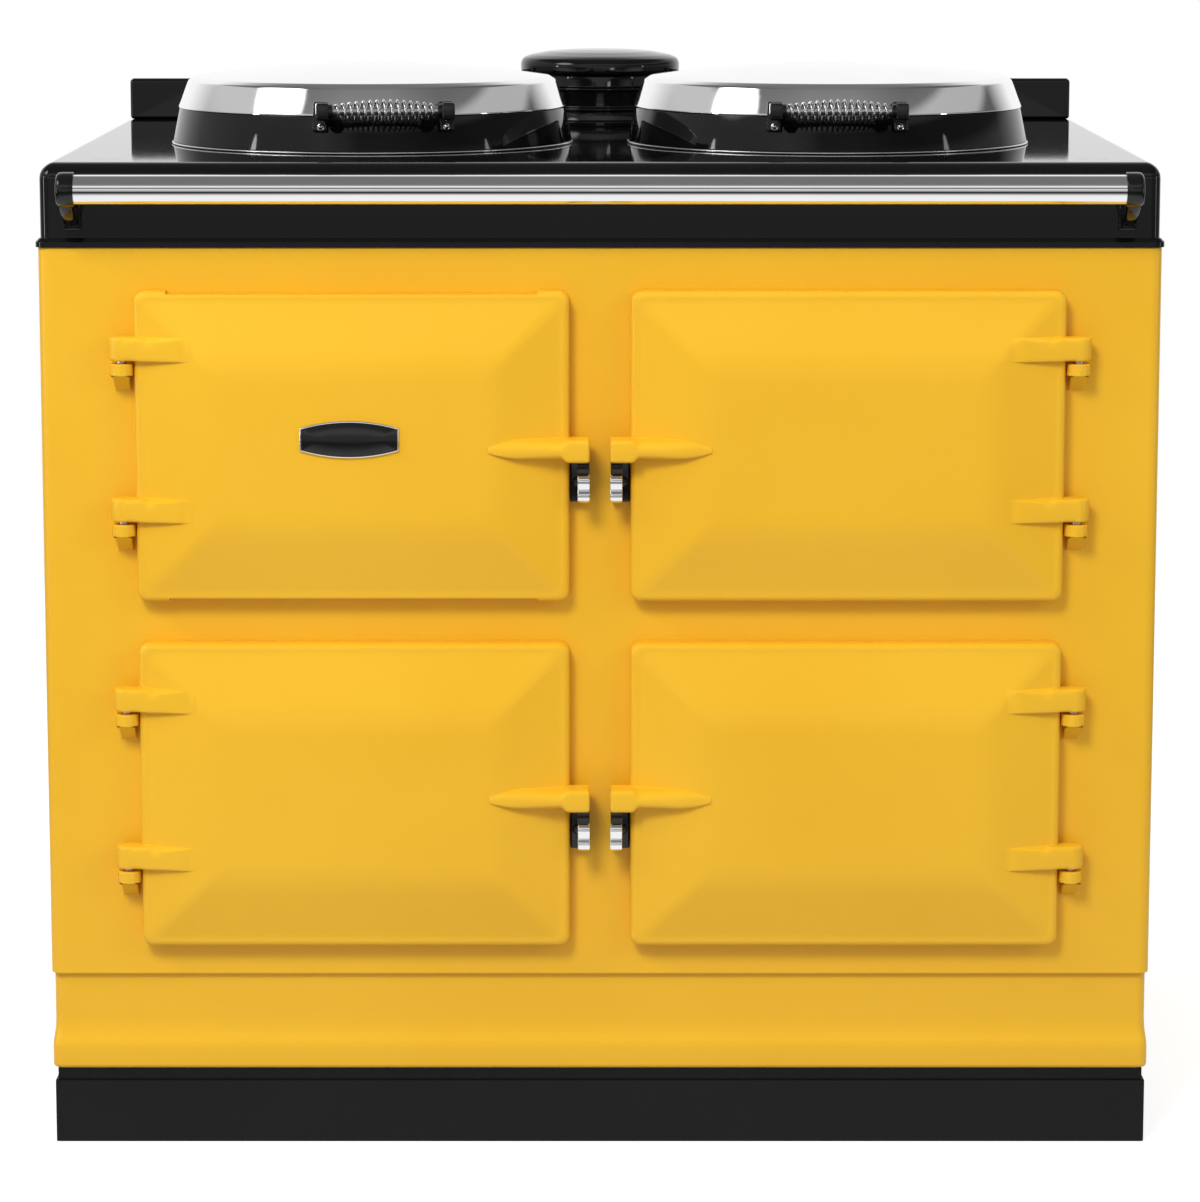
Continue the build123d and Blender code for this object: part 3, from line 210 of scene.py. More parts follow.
# %% World
DOME_TONES = [(-1.0, 0.31), (-0.2, 0.36), (0.4, 0.48), (1.0, 0.5)]
LOW_TONES = [(-1.0, 0.05), (-0.19, 0.05), (-0.15, 0.42), (-0.03, 0.45), (0.03, 0.9)]
HIGH_TONES = [(0.38, 1.0), (0.535, 1.0), (0.57, 0.34), (0.75, 0.2), (1.0, 0.2)]
LEFT_TONES = [*LOW_TONES, (0.30, 0.9), *HIGH_TONES]
RIGHT_TONES = [*LOW_TONES, (0.12, 0.85), (0.20, 0.24), (0.34, 0.24), *HIGH_TONES]
BACK_TONES = [(-1.0, 1.0), (0.62, 1.0), (0.8, 0.4), (1.0, 0.22)]
SIDE_TONES = [(-1.0, 0.58), (-0.6, 0.6), (-0.2, 0.9), (0.2, 0.9), (0.6, 0.5), (1.0, 0.45)]
RIGHT_SHARE = [(-0.45, 0.0), (-0.1, 1.0)]
BEHIND_SHARE = [(0.45, 0.0), (0.8, 1.0)]
world = bpy.data.worlds.new("studio_world")
bpy.context.scene.world = world
sky = blank_tree(world)
direction = add(sky, "TexCoord").outputs["Generated"]
across, depth, height = add(sky, "SeparateXYZ", {0: direction}).outputs


def sky_tones(value, stops):
    return tones(sky, value, stops, -1, 1)


def room_shader(colour=(1, 1, 1, 1)):
    return add(sky, "Background", {"Color": colour}).outputs[0]


left_wall, right_wall = sky_tones(height, LEFT_TONES), sky_tones(height, RIGHT_TONES)
wall = blended(sky, "MIX", sky_tones(across, RIGHT_SHARE), left_wall, right_wall)
front = blended(sky, "MULTIPLY", 1.0, wall, sky_tones(across, SIDE_TONES))
mirrored = blended(sky, "MIX", sky_tones(depth, BEHIND_SHARE), front, sky_tones(height, BACK_TONES))
plain = ray_switch(sky, SEEN_RAYS, room_shader(), room_shader(sky_tones(height, DOME_TONES)))
add(sky, "OutputWorld", {"Surface": ray_switch(sky, MIRROR_RAYS, room_shader(mirrored), plain)})
bpy.context.scene.view_settings.view_transform = "Standard"
print("world nodes", len(sky.nodes))


# %% [markdown]
# ## Lamps
# The modelling light is a softbox high on the left, in front. It, the overhead lamp and the fill
# light on the right light the enamel but are hidden from mirror rays, so that chrome shows the
# drawn room. The tall softbox far on the left is the one that is seen: it puts a white patch on
# each lid. Two narrow upright strips at the sides are left out of the soft light and show in
# mirror rays, where they draw a bright line down each rounded corner.


# %% Lamps
FADE_TONES = [(0.0, 1.0), (0.26, 1.0), (0.48, 0.03), (0.5, 0.0)]
FADE_STRENGTH = 1.6


def soft_light(name, place, target, width, height, power, mirrored_too):
    lamp = bpy.data.lights.new(name, "AREA")
    lamp.shape = "ELLIPSE"
    lamp.size = width
    lamp.size_y = height
    lamp.energy = power
    holder = add_object(name, lamp)
    holder.location = place
    holder.rotation_euler = (Vector(target) - Vector(place)).to_track_quat("-Z", "Y").to_euler()
    holder.visible_glossy = mirrored_too
    return holder


def fade_edge(holder):
    """Lets a lamp's face grow dim towards its rim, as a softbox does."""
    tree = blank_tree(holder.data)
    where = add(tree, "NewGeometry").outputs["Parametric"]
    apart = add(tree, "VectorMath", {0: where, 1: (0.5, 0.5, 0.0)}, operation="DISTANCE")
    shade = tones(tree, apart.outputs["Value"], FADE_TONES, 0.0, 0.75)
    shine = add(tree, "Emission", {"Color": shade, "Strength": FADE_STRENGTH})
    add(tree, "OutputLight", {"Surface": shine.outputs[0]})


soft_light("modelling_box", (-1.15, -3.6, 3.3), (0, -0.3, 0.6), 1.35, 1.35, 102, False)
fade_edge(soft_light("tall_box", (-2.8, -1.45, 3.0), (0, -0.1, 0.9), 2.1, 1.7, 30, True))
soft_light("overhead", (0, 0.2, 2.9), (0, 0, 0.9), 2.6, 1.4, 22, False)
soft_light("right_fill", (3.0, -2.6, 2.0), (0.2, -0.3, 0.6), 1.6, 1.6, 20, False)
for name, x, power in (("left_strip", -3.1, 9.0), ("right_strip", 3.1, 4.0)):
    strip = soft_light(name, (x, -1.2, 0.8), (0, -0.3, 0.8), 0.22, 1.7, power, True)
    strip.visible_diffuse = False


# %% [markdown]
# ## Finishes
# Each finish is a small node tree. A texture on Object coordinates changes the colour, the
# roughness and the surface bump a little, because no real surface is one flat value: enamel has
# a faint orange peel, iron a grain, steel the lines of its rolling. The helpers below place the
# nodes, so that each finish reads as a short recipe.


# %% Node helpers
EVEN = (1, 1, 1)
NOISE_LOW, NOISE_HIGH = 0.3, 0.7


def finish(name):
    """A new finish: its material, its node tree and its shader."""
    material = bpy.data.materials.new(name)
    tree = blank_tree(material)
    shader = add(tree, "BsdfPrincipled")
    add(tree, "OutputMaterial", {"Surface": shader.outputs[0]})
    return material, tree, shader


def object_coordinates(tree, scale=EVEN):
    source = add(tree, "TexCoord").outputs["Object"]
    return add(tree, "Mapping", {"Scale": scale, "Vector": source}).outputs["Vector"]


def noise(tree, where, scale, detail, roughness=0.5):
    sockets = {"Scale": scale, "Detail": detail, "Roughness": roughness, "Vector": where}
    return add(tree, "TexNoise", sockets).outputs["Fac"]


def ramp(tree, value, low, high):
    """Turns a noise value into a colour between low and high."""
    colours = add(tree, "ValToRGB", {"Fac": value})
    for mark, place, colour in zip(colours.color_ramp.elements, (NOISE_LOW, NOISE_HIGH), (low, high)):
        mark.position = place
        mark.color = (*colour, 1)
    return colours.outputs["Color"]


def span(tree, value, low, high):
    """Turns a noise value into a number between low and high."""
    sockets = {"From Min": NOISE_LOW, "From Max": NOISE_HIGH, "To Min": low, "To Max": high}
    return add(tree, "MapRange", {**sockets, "Value": value}).outputs["Result"]


def bump(tree, height, depth):
    return add(tree, "Bump", {"Strength": 1.0, "Distance": depth, "Height": height}).outputs["Normal"]


def srgb(red, green, blue):
    """A colour as read on a screen, 0 to 255, as the linear value a shader wants."""
    shares = [part / 255 for part in (red, green, blue)]
    return tuple(s / 12.92 if s <= 0.04045 else ((s + 0.055) / 1.055) ** 2.4 for s in shares)


YELLOW, DEEP_YELLOW = srgb(244, 189, 42), srgb(241, 184, 38)
BLACK, DEEP_BLACK = srgb(12, 12, 13), srgb(9, 9, 10)
print("a warm yellow in linear light:", tuple(round(c, 3) for c in YELLOW))


# %% [markdown]
# ## Vitreous enamel
# Enamel is coloured glass fused on cast iron. It is thick enough to round every edge, its
# surface is glossy with a faint orange peel, and its colour drifts a little where the coat is
# thicker. The yellow has a thin coat layer over a slightly rough base, which gives that depth.


# %% Enamel
def enamel(name, colour, deep, roughness, peel, coat, gloss):
    material, tree, shader = finish(name)
    where = object_coordinates(tree)
    drift = noise(tree, where, 5.0, 2.0)
    smears = noise(tree, where, 38.0, 4.0, 0.6)
    fine = noise(tree, where, 260.0, 2.0)
    sockets = {
        "Base Color": ramp(tree, drift, deep, colour),
        "Roughness": span(tree, smears, roughness * 0.94, roughness * 1.08),
        "Normal": bump(tree, fine, peel),
        "Coat Weight": coat,
        "Coat Roughness": 0.06,
        "IOR": 1.5,
        "Specular IOR Level": gloss,
    }
    fill(tree, shader, sockets)
    return material


FINISHES = {
    "yellow_enamel": enamel("yellow_enamel", YELLOW, DEEP_YELLOW, 0.34, 0.00006, 0.1, 0.32),
    "black_enamel": enamel("black_enamel", BLACK, DEEP_BLACK, 0.05, 0.00001, 0.0, 0.4),
}
print("enamels:", list(FINISHES))


# %% [markdown]
# ## Metals and the rest
# Polished chrome has hair-fine wiping scratches; sheet steel has rolling lines; raw iron is
# grainy and dull; rope and packing are woven or fibrous. One helper makes all of them, with the
# direction and size of their grain as values.


# %% Metals
def metal(name, bright, dull, roughness, spread, grain, scale, depth, metallic=1.0, gloss=0.5):
    """grain stretches the texture along an axis, scale sets its size per metre."""
    material, tree, shader = finish(name)
    marks = noise(tree, object_coordinates(tree, grain), scale, 5.0, 0.6)
    cloud = noise(tree, object_coordinates(tree), 9.0, 2.0)
    sockets = {
        "Base Color": ramp(tree, cloud, dull, bright),
        "Roughness": span(tree, marks, roughness, roughness + spread),
        "Normal": bump(tree, marks, depth),
        "Metallic": metallic,
        "Specular IOR Level": gloss,
    }
    fill(tree, shader, sockets)
    return material


ALONG_X = (0.04, 1, 1)
ALONG_Z = (1, 1, 0.04)
RECIPES = {
    "bright_chrome": ((0.91, 0.91, 0.92), (0.87, 0.87, 0.88), 0.04, 0.05, ALONG_X, 420, 0.000003),
    "coil_chrome": ((0.84, 0.84, 0.85), (0.78, 0.78, 0.79), 0.08, 0.08, EVEN, 300, 0.000006),
    "base_alloy": ((0.78, 0.78, 0.78), (0.72, 0.72, 0.73), 0.2, 0.06, EVEN, 140, 0.0000015),
    "steel_pin": ((0.6, 0.6, 0.61), (0.5, 0.5, 0.51), 0.25, 0.15, ALONG_Z, 300, 0.00001),
    "liner_steel": ((0.55, 0.55, 0.56), (0.45, 0.45, 0.46), 0.3, 0.2, ALONG_X, 260, 0.00002),
    "shelf_wire": ((0.62, 0.62, 0.63), (0.5, 0.5, 0.51), 0.22, 0.16, EVEN, 200, 0.00001),
    "heater_steel": ((0.2, 0.19, 0.185), (0.13, 0.12, 0.12), 0.45, 0.2, EVEN, 160, 0.00002),
    "panel_steel": ((0.36, 0.36, 0.37), (0.3, 0.3, 0.31), 0.38, 0.16, ALONG_X, 320, 0.00002),
    "raw_iron": ((0.13, 0.13, 0.135), (0.08, 0.08, 0.083), 0.42, 0.2, EVEN, 420, 0.00006),
    "black_iron": ((0.006, 0.006, 0.0065), (0.004, 0.004, 0.0045), 0.1, 0.06, EVEN, 240, 0.000008, 0.0, 0.45),
    "oven_iron": ((0.05, 0.05, 0.052), (0.028, 0.028, 0.03), 0.5, 0.2, EVEN, 180, 0.00008, 0.3),
    # base_iron is set nearly black, darker than the plinth: the plate's own dark iron colour, with painted
    # shade added so the recess between the moulding and the plinth reads dark.
    "base_iron": ((0.0035, 0.0035, 0.0036), (0.0025, 0.0025, 0.0025), 0.4, 0.2, EVEN, 150, 0.00003, 0.0, 0.2),
    "plinth_black": ((0.0062, 0.006, 0.0058), (0.0048, 0.0047, 0.0045), 0.42, 0.14, EVEN, 700, 2e-5, 0.0, 0.2),
    "back_black": ((0.03, 0.03, 0.031), (0.022, 0.022, 0.023), 0.5, 0.15, EVEN, 500, 0.00003, 0.0),
    "knob_black": ((0.014, 0.014, 0.015), (0.01, 0.01, 0.011), 0.34, 0.1, EVEN, 600, 0.00001, 0.0),
    "badge_black": ((0.01, 0.01, 0.011), (0.006, 0.006, 0.007), 0.08, 0.05, EVEN, 300, 0.00001, 0.0),
    "rope_seal": ((0.42, 0.4, 0.36), (0.28, 0.27, 0.24), 0.85, 0.1, EVEN, 900, 0.0004, 0.0),
    "packing": ((0.72, 0.66, 0.5), (0.55, 0.5, 0.38), 0.9, 0.1, EVEN, 500, 0.0008, 0.0),
}
for name, values in RECIPES.items():
    FINISHES[name] = metal(name, *values)
print("finishes:", len(FINISHES))

# %% [markdown]
# ## Put each finish on its CAD pieces
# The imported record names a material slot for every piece, so the finish is found by that name.


# %% Assign
def paint(piece, slot):
    piece.data.materials.clear()
    piece.data.materials.append(FINISHES[slot])


node_slots = {part["node"]: part["material_slot"] for part in frame["record"]["subparts"]}
for name, node in nodes.items():
    paint(node, node_slots[name])
print("slots in use:", sorted(set(node_slots.values())))


# %% [markdown]
# ## Soft edges
# No cast or enamelled edge is sharp. A CAD mesh is loose triangles, so a Weld joins them, a
# planar Decimate turns them back into whole faces, and a Bevel rounds every edge that turns by
# more than a limit. Weighted normals then keep the broad faces flat. These are live modifiers:
# the CAD mesh itself is never touched.

# %% Soften
JOIN_WITHIN = 0.0001
SOFT_STEPS = 3
SOFT_WIDTH = 0.0004
SOFT_TURN = 25.0
SOFT_WIDTHS = {
    "front_casting": 0.0016,
    "top_plate": 0.0010,
    "rear_upstand": 0.0030,
    "plinth": 0.0014,
    "base_plate": 0.0006,
    "lid_hinge_brackets": 0.0010,
}
SOFT_TURNS = {"lid_hinge_brackets": 32.0}


def soften(node, width, turn):
    for face in node.data.polygons:
        face.use_smooth = True
    weld = node.modifiers.new("join", "WELD")
    weld.merge_threshold = JOIN_WITHIN
    flat = node.modifiers.new("whole_faces", "DECIMATE")
    flat.decimate_type = "DISSOLVE"
    flat.angle_limit = math.radians(0.5)
    edge = node.modifiers.new("soft_edges", "BEVEL")
    edge.width = width
    edge.segments = SOFT_STEPS
    edge.limit_method = "ANGLE"
    edge.angle_limit = math.radians(turn)
    edge.harden_normals = True
    even = node.modifiers.new("flat_faces", "WEIGHTED_NORMAL")
    even.weight = 100


for name, node in nodes.items():
    soften(node, SOFT_WIDTHS.get(name, SOFT_WIDTH), SOFT_TURNS.get(name, SOFT_TURN))
print("softened:", len(nodes))


# %% [markdown]
# ## Shared modelling steps
# Every new piece ends in the same way, in `leave`: its faces are turned outwards, its shading,
# finish and body are set. The other helpers are steps that many pieces share: even spacing,
# picking, adding one more ring to a growing form, and joining or cutting forms.

# %% Modelling helpers
WELD_WITHIN = 0.00001


def spaced(start, end, count):
    """Evenly spaced values from start to end, in count steps."""
    return [start + (end - start) * index / count for index in range(count + 1)]


def quarter_turn(count):
    return spaced(0.0, math.pi / 2, count)


def smooth_step(share):
    share = min(max(share, 0.0), 1.0)
    return share * share * (3 - 2 * share)


def bow(start, bend, end, share):
    """A point on the curve from start to end that leans towards bend."""
    return start * (1 - share) ** 2 + bend * 2 * share * (1 - share) + end * share**2


def pick(*pieces):
    """Selects just these pieces; the first one is the active one."""
    deselect()
    for piece in pieces:
        piece.select_set(True)
    bpy.context.view_layer.objects.active = pieces[0]


def settle():
    bpy.ops.object.transform_apply(location=True, rotation=True, scale=True)


def edit(piece):
    pick(piece)
    bpy.ops.object.mode_set(mode="EDIT")


def edit_done():
    bpy.ops.object.mode_set(mode="OBJECT")


def select_everything():
    bpy.ops.mesh.select_all(action="SELECT")


def select_faces(piece, wanted):
    """In edit mode, selects just the faces that pass a test."""
    bpy.ops.mesh.select_all(action="DESELECT")
    shape = bmesh.from_edit_mesh(piece.data)
    for face in shape.faces:
        face.select = wanted(face)
    bmesh.update_edit_mesh(piece.data)


def close_seams():
    """In edit mode, merges doubled points and turns the faces outwards."""
    select_everything()
    bpy.ops.mesh.remove_doubles(threshold=WELD_WITHIN)
    bpy.ops.mesh.normals_make_consistent(inside=False)


def grow(move, stretch, about):
    """In edit mode, one more ring: the last face is extruded, then resized about a point."""
    bpy.ops.mesh.extrude_region_move(TRANSFORM_OT_translate={"value": move})
    bpy.ops.transform.resize(value=stretch, center_override=about)


def apply_modifiers(piece):
    pick(piece)
    for modifier in list(piece.modifiers):
        bpy.ops.object.modifier_apply(modifier=modifier.name)


def boolean(piece, other, kind):
    """Joins another form to a piece (UNION) or takes it away (DIFFERENCE)."""
    step = piece.modifiers.new("boolean", "BOOLEAN")
    step.operation = kind
    step.solver = "EXACT"
    step.object = other
    apply_modifiers(piece)
    bpy.data.objects.remove(other)


def join(pieces):
    """Several closed forms made one object; the first one's object is kept."""
    pick(*pieces)
    bpy.ops.object.join()
    return pieces[0]


def leave(piece, name, slot, body, smooth, *replaced):
    """Back to object mode; place applied, faces outwards, shading, finish and body."""
    if bpy.context.object and bpy.context.object.mode == "EDIT":
        close_seams()
    pick(piece)
    settle()
    bpy.ops.object.shade_smooth_by_angle(angle=math.radians(smooth))
    piece.name = name
    piece.data.name = name
    paint(piece, slot)
    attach(piece, body)
    if replaced:
        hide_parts(*replaced)
    piece.select_set(False)
    print(name, len(piece.data.polygons), "faces")


print("a quarter turn in degrees:", [round(math.degrees(turn)) for turn in quarter_turn(6)])

# %% [markdown]
# ## Turned pieces
# Lids, caps and discs are turned on a lathe. In Blender the same form grows ring by ring: a
# circle is extruded upwards and resized to the next radius of the profile, again and again, and
# a radius of zero becomes a tiny ring closed by a face. A profile is a list of radius and height
# pairs. Where it ends at its own start the form is a ring, and the discs that close it are taken out.

# %% Turning helpers
ROUND_STEPS = 128
TINY = 0.0004
CORNER_STEPS = 4


def turned(centre, profile, around=ROUND_STEPS):
    """A closed form turned about the upright line through centre; left in edit mode."""
    deselect()
    radius, height = max(profile[0][0], TINY), profile[0][1]
    bpy.ops.mesh.primitive_circle_add(vertices=around, radius=radius, location=(centre[0], centre[1], height))
    piece = bpy.context.object
    settle()
    edit(piece)
    select_everything()
    bpy.ops.mesh.edge_face_add()
    for next_radius, next_height in profile[1:]:
        next_radius = max(next_radius, TINY)
        wider = next_radius / radius
        grow((0, 0, next_height - height), (wider, wider, 1), (centre[0], centre[1], next_height))
        radius, height = next_radius, next_height
    return piece


def turned_ring(centre, profile, around=ROUND_STEPS):
    """A turned form with a hole through it; left in object mode."""
    piece = turned(centre, profile, around)
    select_faces(piece, lambda face: len(face.verts) > 8)
    bpy.ops.mesh.delete(type="ONLY_FACE")
    close_seams()
    edit_done()
    return piece


def turned_part(profile, around, *moves):
    """A small form turned at the origin and then moved; left in object mode."""
    piece = turned((0, 0), profile, around)
    edit_done()
    for move in moves:
        piece.data.transform(move)
    return piece


def softened_profile(points, reach):
    """A profile whose inner corners are all rounded by reach."""
    result = [points[0]]
    for trio in zip(points, points[1:], points[2:]):
        before, corner, after = (Vector(point) for point in trio)
        near = min((corner - point).length for point in (before, after))
        short = min(reach, near * 0.45)
        start = corner + (before - corner).normalized() * short
        end = corner + (after - corner).normalized() * short
        result.extend(tuple(bow(start, corner, end, t)) for t in spaced(0, 1, CORNER_STEPS))
    return result + [points[-1]]


print("a turned profile has", len(softened_profile([(0, 0), (1, 0), (1, 1), (0, 1)], 0.1)), "points")

# %% [markdown]
# ## Lid domes
# The top of each lid is one sheet of metal, spun over a form and chromed. It has a sloping side
# band, a crisp shoulder and a shallow crown. The profile starts at the middle of the crown, runs
# down the inside to the seam and climbs the outside again, so that the sheet has a thickness.

# %% Domes
SEAM_HEIGHT = 0.034
SEAM_LIP = 0.0012
SHOULDER_HEIGHT = 0.059
SHOULDER_R = 0.1725
CROWN_R = 0.1665
CROWN_FOOT = 0.0626
DOME_SHEET = 0.002
DOME_SOFT = 0.0014
DOME_R = size("left_lid_dome").x / 2
CROWN_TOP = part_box("left_lid_dome")[1].z - PLATE_Z
CROWN_STEPS = 14


def crown_profile(top):
    """The shallow crown, as part of a ball, from its foot to the middle."""
    rise = top - CROWN_FOOT
    ball = (CROWN_R**2 + rise**2) / (2 * rise)
    for radius in spaced(CROWN_R, 0.0, CROWN_STEPS):
        yield (radius, top - ball + math.sqrt(ball**2 - radius**2))


def dome(side):
    crown = list(crown_profile(CROWN_TOP))
    shoulder = (SHOULDER_R, SHOULDER_HEIGHT)
    outer = [(DOME_R - DOME_SHEET, SEAM_HEIGHT), (DOME_R, SEAM_HEIGHT), (DOME_R, SEAM_HEIGHT + SEAM_LIP)]
    outer += [shoulder, crown[0], crown[2]]
    outside = softened_profile(outer, DOME_SOFT)[1:-1] + crown[2:]
    inner = [(DOME_R, SEAM_HEIGHT + DOME_SHEET), shoulder, *crown[::2]]
    inside = [(max(r - DOME_SHEET, 0), z - DOME_SHEET) for r, z in inner]
    profile = [(r, z + PLATE_Z) for r, z in [*reversed(inside), *outside]]
    shell = turned(LIDS[side], profile)
    leave(shell, f"{side}_dome_spun", "bright_chrome", f"{side}_lid", 50.0, f"{side}_lid_dome")


for side in LIDS:
    dome(side)

# %% [markdown]
# ## Lid skirts and beads
# Below the seam the lid is a black enamelled ring, and under it the polished base plate shows as
# a thin bright bead. The ring carries the hinge lug on its back: a short thick barrel with a
# bridge to the ring, joined by a Boolean union as the casting would be one piece.

# %% Skirts
BEAD_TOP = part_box("left_lid_base")[1].z
BEAD_R = size("left_lid_base").x / 2
SKIRT_FOOT_R = BEAD_R - 0.001
SEAM_R = 0.181
SKIRT_WALL = 0.0025
SKIRT_SOFT = 0.0009
LUG_HALF = 0.020
LUG_R = 0.008
LUG_AXIS_Y = 0.2055
LUG_AXIS_Z = 0.019
BRIDGE_LONG = 0.027
BRIDGE_EASE = 0.0002


def box_at(centre, extent):
    deselect()
    bpy.ops.mesh.primitive_cube_add(size=1.0, location=centre)
    piece = bpy.context.object
    piece.scale = extent
    settle()
    return piece


def cylinder_at(place, radius, long, rotation=(0, 0, 0)):
    deselect()
    bpy.ops.mesh.primitive_cylinder_add(
        vertices=48, radius=radius, depth=long, location=place, rotation=rotation
    )
    settle()
    return bpy.context.object


def hinge_lug(side):
    centre = LIDS[side]
    axis = Vector((centre.x, centre.y + LUG_AXIS_Y, PLATE_Z + LUG_AXIS_Z))
    barrel = cylinder_at(axis, LUG_R, 2 * LUG_HALF, (0, math.pi / 2, 0))
    extent = (2 * LUG_HALF - BRIDGE_EASE, BRIDGE_LONG, 2 * LUG_R - BRIDGE_EASE)
    boolean(barrel, box_at(axis - Vector((0, BRIDGE_LONG / 2, 0)), extent), "UNION")
    return barrel


def skirt(side):
    top, inner = PLATE_Z + SEAM_HEIGHT, SEAM_R - SKIRT_WALL
    outer = [(SKIRT_FOOT_R - SKIRT_WALL, BEAD_TOP), (SKIRT_FOOT_R, BEAD_TOP), (SEAM_R, top), (inner, top)]
    start = (inner, BEAD_TOP)
    ring = turned_ring(LIDS[side], [start, *softened_profile(outer, SKIRT_SOFT)[1:], start])
    boolean(ring, hinge_lug(side), "UNION")
    leave(ring, f"{side}_skirt_ring", "black_enamel", f"{side}_lid", 35.0, f"{side}_lid_skirt")


for side in LIDS:
    skirt(side)

# %% [markdown]
# ## Lid base plates
# The underside of a lid keeps the heat in when it is closed: a polished alloy disc with a few
# shallow turned steps. Closed, only its rim shows.

# %% Base plates
BASE_STEPS = [(0.0, 0.0009), (0.052, 0.0009), (0.054, 0.0004), (0.118, 0.0004), (0.120, 0.0009)]
BASE_STEPS += [(0.168, 0.0009), (0.170, 0.0)]
BASE_RIM = 0.006
BASE_SOFT = 0.0008


def base_disc(side):
    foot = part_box(f"{side}_lid_base")[0].z
    under = [(r, foot + lift) for r, lift in BASE_STEPS]
    rim = [under[-1], (BEAD_R, foot), (BEAD_R, BEAD_TOP), (BEAD_R - BASE_RIM, BEAD_TOP)]
    disc = turned(LIDS[side], [*under[:-1], *softened_profile(rim, BASE_SOFT), (0.0, BEAD_TOP)])
    leave(disc, f"{side}_base_disc", "base_alloy", f"{side}_lid", 40.0, f"{side}_lid_base")


for side in LIDS:
    base_disc(side)

# %% [markdown]
# ## Wire grips
# The grip of each lid is a coil of bright wire, wound fat in the middle and thin at the ends, so
# that air cools it. A wire is best made as a curve with a round bevel: the curve follows the
# winding, and the bevel gives the wire its thickness. It is then turned into a mesh.

# %% Coils
WIRE_R = 0.00135
COIL_TURNS = 15
COIL_END_R = 0.0055
COIL_MID_R = 0.0097
COIL_STEPS = 24
COIL_GAP = 0.0043
GRIP_LONG = 0.102
GRIP_TURN = {"left": math.radians(6.0), "right": 0.0}


def grip_middle(side):
    """Middle of the grip's axis, read from the rod inside it."""
    points = [v.co.copy() for v in nodes[f"{side}_handle_rod"].data.vertices]
    return sum(points, Vector()) / len(points)


def coil(side):
    centre, turn = grip_middle(side), GRIP_TURN[side]
    along, up = Vector((math.cos(turn), math.sin(turn), 0)), Vector((0, 0, 1))
    across = up.cross(along)
    reach = GRIP_LONG - 2 * COIL_GAP - 2 * WIRE_R
    count = COIL_TURNS * COIL_STEPS
    wire = bpy.data.curves.new("coil_line", "CURVE")
    wire.dimensions = "3D"
    wire.bevel_depth = WIRE_R
    wire.bevel_resolution = 2
    wire.use_fill_caps = True
    line = wire.splines.new("POLY")
    line.points.add(count)
    for index in range(count + 1):
        share = index / count
        angle = 2 * math.pi * index / COIL_STEPS
        radius = COIL_END_R + (COIL_MID_R - COIL_END_R) * math.sin(math.pi * share)
        place = centre + along * (share - 0.5) * reach
        place += across * radius * math.cos(angle) + up * radius * math.sin(angle)
        line.points[index].co = (*place, 1)
    holder = add_object("coil_line", wire)
    bpy.context.view_layer.update()
    mesh = bpy.data.meshes.new_from_object(holder.evaluated_get(bpy.context.evaluated_depsgraph_get()))
    bpy.data.objects.remove(holder)
    winding = add_object("coil", mesh)
    leave(winding, f"{side}_grip_coil", "coil_chrome", f"{side}_lid", 60.0, f"{side}_handle_coil")


for side in LIDS:
    coil(side)

# %% [markdown]
# ## Vent
# The flue outlet is a short ribbed neck under a mushroom cap, both glossy black. Both are turned.

# %% Vent
VENT_STEPS = 96
VENT = middle("vent_cap")
NECK_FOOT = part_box("vent_neck")[0].z
CAP_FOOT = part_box("vent_neck")[1].z
CAP_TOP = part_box("vent_cap")[1].z
NECK_R, NECK_FOOT_R, CAP_R = 0.060, size("vent_neck").x / 2, size("vent_cap").x / 2
NECK_BORE = 0.055
NECK_TOP = CAP_FOOT - 0.0002
RIB = [(0.0, 0.0), (0.0022, 0.0015), (0.0022, 0.0035), (0.0, 0.005)]
neck = [(NECK_FOOT_R, NECK_FOOT), (NECK_FOOT_R, NECK_FOOT + 0.005), (NECK_R + 0.002, NECK_FOOT + 0.0055)]
neck += [(NECK_R + out, NECK_FOOT + rib + lift) for rib in (0.014, 0.034) for out, lift in RIB]
neck = [(NECK_BORE, NECK_FOOT), *neck, (NECK_R, NECK_TOP), (NECK_BORE, NECK_TOP)]
ring = turned_ring(VENT, [*softened_profile(neck, 0.0009), neck[0]], VENT_STEPS)
leave(ring, "vent_neck_turned", "black_enamel", "cooker", 35.0, "vent_neck")
cap = [(0.0, CAP_FOOT), (CAP_R - 0.006, CAP_FOOT), (CAP_R, CAP_FOOT + 0.003), (CAP_R, CAP_FOOT + 0.012)]
cap += [(0.0775, CAP_FOOT + 0.0165), (0.070, CAP_FOOT + 0.0195), (0.052, CAP_FOOT + 0.0228)]
cap += [(0.030, CAP_TOP - 0.0006), (0.0, CAP_TOP)]
mushroom = turned(VENT, softened_profile(cap, 0.0025), VENT_STEPS)
leave(mushroom, "vent_cap_turned", "black_enamel", "cooker", 45.0, "vent_cap")

# %% [markdown]
# ## Doors
# A door is one casting: a rounded rim, four wide bevels that rise to a flat field, two hinge
# straps and a leaf-shaped latch arm that grow out of the bevels. The slab grows ring by ring, as
# the lids do, but from a rounded rectangle: it starts at the floor of the hollow back, comes down
# the inside wall, turns round the back edge and climbs the outside. A fused Boolean would leave
# hard seams, so the straps and the arm are lofted with feet that flare into the bevel.

# %% Door measures
DOOR_MIDDLE = {door: middle(f"{door}_door_liner") for door in DOORS}
HAND = {door: (1 if DOOR_MIDDLE[door].x < 0 else -1) for door in DOORS}
HALF_W, HALF_H = 0.191, 0.1375
DOOR_BACK = 0.0006
RIM_FRONT = 0.0206
FIELD_FRONT = 0.0366
RIM_ROUND = 0.006
SHELF = 0.008
BEVEL_IN = 0.065
FIELD_SOFT = 0.014
CORNER_R = 0.009
DOOR_WALL = 0.006


